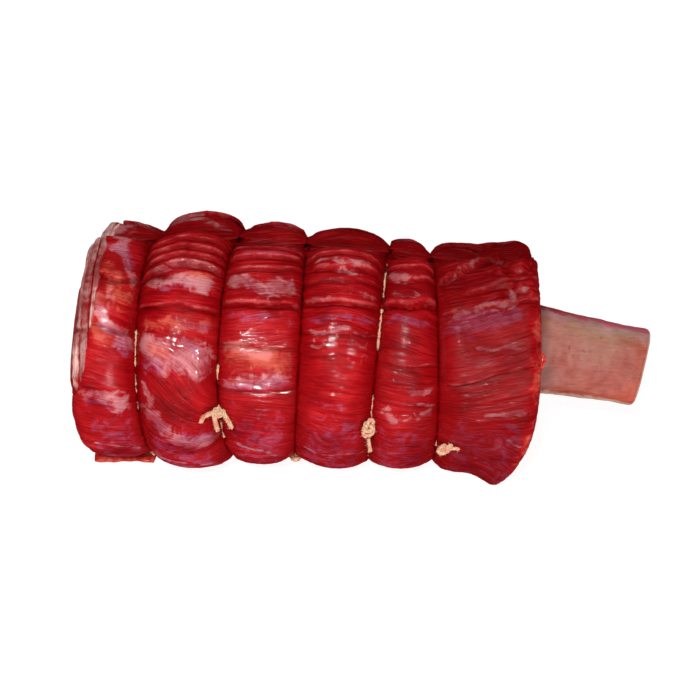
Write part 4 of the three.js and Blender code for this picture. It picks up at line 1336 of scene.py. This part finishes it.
def knot_frame(tie):
    a = tie["knot"] * DEG
    out = Vector((0, -math.cos(a), math.sin(a)))
    along = Vector((1, 0, 0))
    seat = float(knot_radius(tie)) + KNOT_SEAT
    x = float(tie_x(tie, float(tie["knot"])))
    origin = on_roll(np.array(x), np.array(seat), np.array(float(tie["knot"])))
    frame = Matrix((along, out.cross(along), out)).transposed().to_4x4()
    frame.translation = Vector(origin)
    return frame


def loop_points(tie, count=240):
    turn = np.arange(count) * 360.0 / count
    angle = turn + tie["knot"] + 180
    off = np.minimum(turn, 360 - turn)
    lift = tie["lift"] * bell(180 - off, LIFT_SPREAD)
    return on_roll(tie_x(tie, angle), twine_radius_at(TIES.index(tie), angle) + lift, angle)


def smooth_path(points, steps):
    """A Catmull-Rom curve through given points."""
    p = np.array([points[0], *points, points[-1]], dtype=float)
    result = []
    for i in range(len(points) - 1):
        for t in np.arange(steps) / steps:
            a = 2 * p[i + 1]
            b = (p[i + 2] - p[i]) * t
            c = (2 * p[i] - 5 * p[i + 1] + 4 * p[i + 2] - p[i + 3]) * t * t
            d = (3 * p[i + 1] - p[i] - 3 * p[i + 2] + p[i + 3]) * t ** 3
            result.append((a + b + c + d) / 2)
    return np.array(result + [p[-2]])


def knot_paths(tie, knot):
    """The knotted cord and its loose ends, each as (points, closes on itself, thickness)."""
    frame = np.array(knot_frame(tie))
    turn = knot["turn"] * DEG
    c, s = math.cos(turn), math.sin(turn)
    turned = np.array([[c, -s, 0], [s, c, 0], [0, 0, 1]])
    length, width = knot["core"]
    t = np.arange(60) * np.pi / 30
    swing = (2 + np.cos(3 * t)) / 3
    core = [length * swing * np.cos(2 * t), width * swing * np.sin(2 * t), 0.9 * np.sin(3 * t)]
    found = [(np.stack(core, -1) @ turned.T + knot["at"], True)]
    if knot["wraps"]:
        t = np.linspace(0, 1, knot["wraps"] * 14 + 1)
        spin = 2 * np.pi * knot["wraps"] * t + 1
        wrap = [(t - 0.5) * length, (width - 0.4) * np.cos(spin), (width - 0.4) * np.sin(spin)]
        found.append((np.stack(wrap, -1) @ turned.T + knot["at"], False))
    found += [(smooth_path(tail, 6), False) for tail in knot["tails"]]
    return [(path @ frame[:3, :3].T + frame[:3, 3], closed, knot["thick"]) for path, closed in found]


def path_object(name, paths):
    """Wire paths in one mesh, each given as (points, closes on itself, thickness)."""
    points, edges, thick = [], [], []
    for path, closed, thickness in paths:
        first = len(points)
        points += to_frame(path).tolist()
        thick += [thickness] * len(path)
        edges += [(first + i, first + i + 1) for i in range(len(path) - 1)]
        if closed:
            edges.append((len(points) - 1, first))
    mesh = bpy.data.meshes.new(name)
    mesh.from_pydata(points, edges, [])
    mesh.attributes.new("thickness", "FLOAT", "POINT").data.foreach_set("value", thick)
    return place_object(name, mesh)


def twine_tree(material):
    """Lays three plies round each wire path, then sets stray fibres on them."""
    tree, given = new_tree(
        "laid_twine", "Ply radius", "Lay length", "Point spacing", "Hair length", "Hair density")
    wires = add(tree, "GeometryNodeMeshToCurve", Mesh=given["Geometry"])
    thickness = add(tree, STORED, Name="thickness", data_type="FLOAT")
    even = add(
        tree, "GeometryNodeResampleCurve", Curve=wires, Length=given["Point spacing"], mode="LENGTH")
    even = add(tree, "GeometryNodeSetCurveRadius", Curve=even, Radius=thickness)
    ply_offset = add(tree, MATH, (thickness, given["Ply radius"]), operation="MULTIPLY")
    length = add(tree, "GeometryNodeSplineLength", out="Length")
    turns = add(tree, MATH, (length, given["Lay length"]), operation="DIVIDE")
    turns = add(tree, MATH, (turns,), operation="CEIL")
    spin = add(tree, MATH, (turns, 2 * math.pi), operation="MULTIPLY")
    along = add(tree, "GeometryNodeSplineParameter", out="Factor")
    spin = add(tree, MATH, (spin, along), operation="MULTIPLY")
    normal = add(tree, "GeometryNodeInputNormal")
    tangent = add(tree, "GeometryNodeInputTangent")
    section = add(tree, CIRCLE, Resolution=6, Radius=given["Ply radius"])
    cord = add(tree, JOIN)
    for ply in range(3):
        angle = add(tree, MATH, (spin, 2 * math.pi * ply / 3), operation="ADD")
        way = add(tree, "ShaderNodeVectorRotate", Vector=normal, Axis=tangent, Angle=angle)
        offset = add(tree, VECTOR_MATH, (way,), Scale=ply_offset, operation="SCALE")
        laid = add(tree, MOVE, Geometry=even, Offset=offset)
        tube = add(tree, SWEEP, Curve=laid, Profile_Curve=section, Fill_Caps=True)
        tree.links.new(tube, cord.node.inputs[0])

    # A stray fibre is one short bent hair, set on the cord at random and leaning either way.
    scattered = add(
        tree, "GeometryNodeDistributePointsOnFaces", Mesh=cord, Density=given["Hair density"],
        Seed=given["Seed"]).node.outputs
    bend = add(
        tree, "GeometryNodeCurvePrimitiveBezierSegment", Resolution=4, Start=(0, 0, 0),
        Start_Handle=(0, 0.0002, 0.0004), End_Handle=(0.0002, 0.0005, 0.0007),
        End=(0.0006, 0.0003, 0.001))
    section = add(tree, CIRCLE, Resolution=3, Radius=0.00005)
    hair = add(tree, SWEEP, Curve=bend, Profile_Curve=section, Fill_Caps=True)
    lean = add(
        tree, RANDOM, ((-0.9, -0.9, -3.1), (0.9, 0.9, 3.1)), Seed=given["Seed"],
        data_type="FLOAT_VECTOR")
    size = add(
        tree, RANDOM, {2: 0.4, 3: given["Hair length"]}, out=1, Seed=given["Seed"],
        data_type="FLOAT")
    leaning = add(
        tree, "FunctionNodeRotateRotation", Rotation=scattered["Rotation"], Rotate_By=lean,
        rotation_space="LOCAL")
    hairs = add(
        tree, "GeometryNodeInstanceOnPoints", Points=scattered["Points"], Instance=hair,
        Rotation=leaning, Scale=size)
    hairy = add(tree, JOIN)
    tree.links.new(cord, hairy.node.inputs[0])
    tree.links.new(hairs, hairy.node.inputs[0])
    return end_tree(tree, add(tree, "GeometryNodeSetShadeSmooth", Geometry=hairy), material)


def twine_material():
    """Cotton twine: matt cream fibres, stained pink and orange where meat juice has soaked in."""
    material, tree, shader = new_material("cotton_twine", Roughness=0.85, Specular_IOR_Level=0.2)
    place = add(tree, PLACE, out="Object")
    strands = add(tree, NOISE, Vector=place, Scale=1 / 0.0007, Detail=2.0)
    soak = add(tree, NOISE, Vector=place, Scale=1 / 0.0035, Detail=2.0)
    pink = add(tree, NOISE, Vector=place, Scale=1 / 0.003, Detail=1.0)
    cotton = lay(tree, "#b07c50", "#ffe0bc", strands)
    stain = lay(tree, "#c9683c", "#e8918a", pink)
    dress(tree, shader, lay(tree, cotton, stain, soak, (0.44, 0.62, 0.8)), strands, 0.0003, 0.8)
    return material


def build_all():
    beef = meat_material()
    relief = relief_tree(beef)
    for part in (make_side(), make_left_end(), make_right_end()):
        hand_over(apply_tree(part, relief, FIBRE_RELIEF), "raw_meat", "meat")
    for loose in (slipped_strip(), loose_shred()):
        loose.data.materials.append(beef)
        hand_over(loose, "raw_meat", "meat")
    for name, mesh, material, node in (
            ("shank_bone", make_bone(), bone_material(), "bone"),
            ("bone_marrow", make_marrow(), marrow_material(), "marrow")):
        piece = place_object(name, mesh)
        piece.data.materials.append(material)
        hand_over(piece, node, node)
    laid = twine_tree(twine_material())
    for number, (tie, knot) in enumerate(zip(TIES, KNOTS), start=1):
        wires = path_object(f"twine_{number}", [(loop_points(tie), True, 1.0), *knot_paths(tie, knot)])
        twine = apply_tree(wires, laid, {**LAID_TWINE, "Seed": 4 + number})
        hand_over(twine, "twine", f"twine_tie_{number}")


build_all()


# The stage: floor, light and camera

AIM = Vector((-9.6, 0.0, 61.0)) * MM
CAMERA_DISTANCE = 0.870
CAMERA_AZIMUTH = 2.0
CAMERA_ELEVATION = 35.0
CAMERA_ANGLE = 26.3


def set_facing_shank(thing, distance, azimuth, elevation):
    """Puts a camera or a light round the shank's middle, facing it."""
    a, e = azimuth * DEG, elevation * DEG
    way = Vector((math.sin(a) * math.cos(e), -math.cos(a) * math.cos(e), math.sin(e)))
    thing.location = AIM + distance * way
    thing.rotation_euler = (AIM - thing.location).to_track_quat("-Z", "Y").to_euler()


def make_camera():
    data = bpy.data.cameras.new("camera")
    data.sensor_width = 36
    data.lens = data.sensor_width / 2 / math.tan(CAMERA_ANGLE / 2 * DEG)
    camera = place_object("camera", data)
    set_facing_shank(camera, CAMERA_DISTANCE, CAMERA_AZIMUTH, CAMERA_ELEVATION)
    bpy.context.scene.camera = camera


def make_light(name, distance, azimuth, elevation, size, power, skin=True, glints=True):
    """A soft box; some light the skin alone, and some only give its film a glint."""
    data = bpy.data.lights.new(name, "AREA")
    data.shape = "RECTANGLE"
    data.size, data.size_y = size
    data.energy = power
    light = place_object(name, data)
    set_facing_shank(light, distance, azimuth, elevation)
    light.visible_diffuse = skin
    light.visible_glossy = glints


def make_stage():
    reach = 6.0
    corners = [(-reach, -reach, 0), (reach, -reach, 0), (reach, reach, 0), (-reach, reach, 0)]
    mesh = bpy.data.meshes.new("floor")
    mesh.from_pydata(corners, [], [(0, 1, 2, 3)])
    floor = place_object("floor", mesh)
    sheet, _, _ = new_material(
        "matt_white_sheet", Base_Color=linear("#7d7c7b"), Roughness=0.9, Specular_IOR_Level=0.1,
        Emission_Color=linear("#ffffff"), Emission_Strength=0.9)
    floor.data.materials.append(sheet)
    floor.visible_glossy = False
    world = bpy.data.worlds.new("soft_white_room")
    world.use_nodes = True
    background = world.node_tree.nodes["Background"].inputs
    background["Color"].default_value = linear("#ffffff")
    background["Strength"].default_value = 0.17
    world.cycles_visibility.glossy = False
    bpy.context.scene.world = world
    bpy.context.scene.view_settings.view_transform = "Standard"


make_camera()
make_stage()
# Each light: distance, azimuth and elevation, then its size in metres and its power in watts.
make_light("key", 1.5, -9, 44, (0.24, 0.14), 17)
make_light("fill", 1.6, 26, 24, (0.16, 0.12), 7)
make_light("back", 1.6, 178, 14, (0.5, 0.3), 8, glints=False)
make_light("low_spark", 1.5, 6, 1, (0.26, 0.03), 16, skin=False)
make_light("front_spark", 1.5, -8, 38, (0.26, 0.03), 16, skin=False)
make_light("top_spark", 1.5, -6, 84, (0.2, 0.03), 10, skin=False)
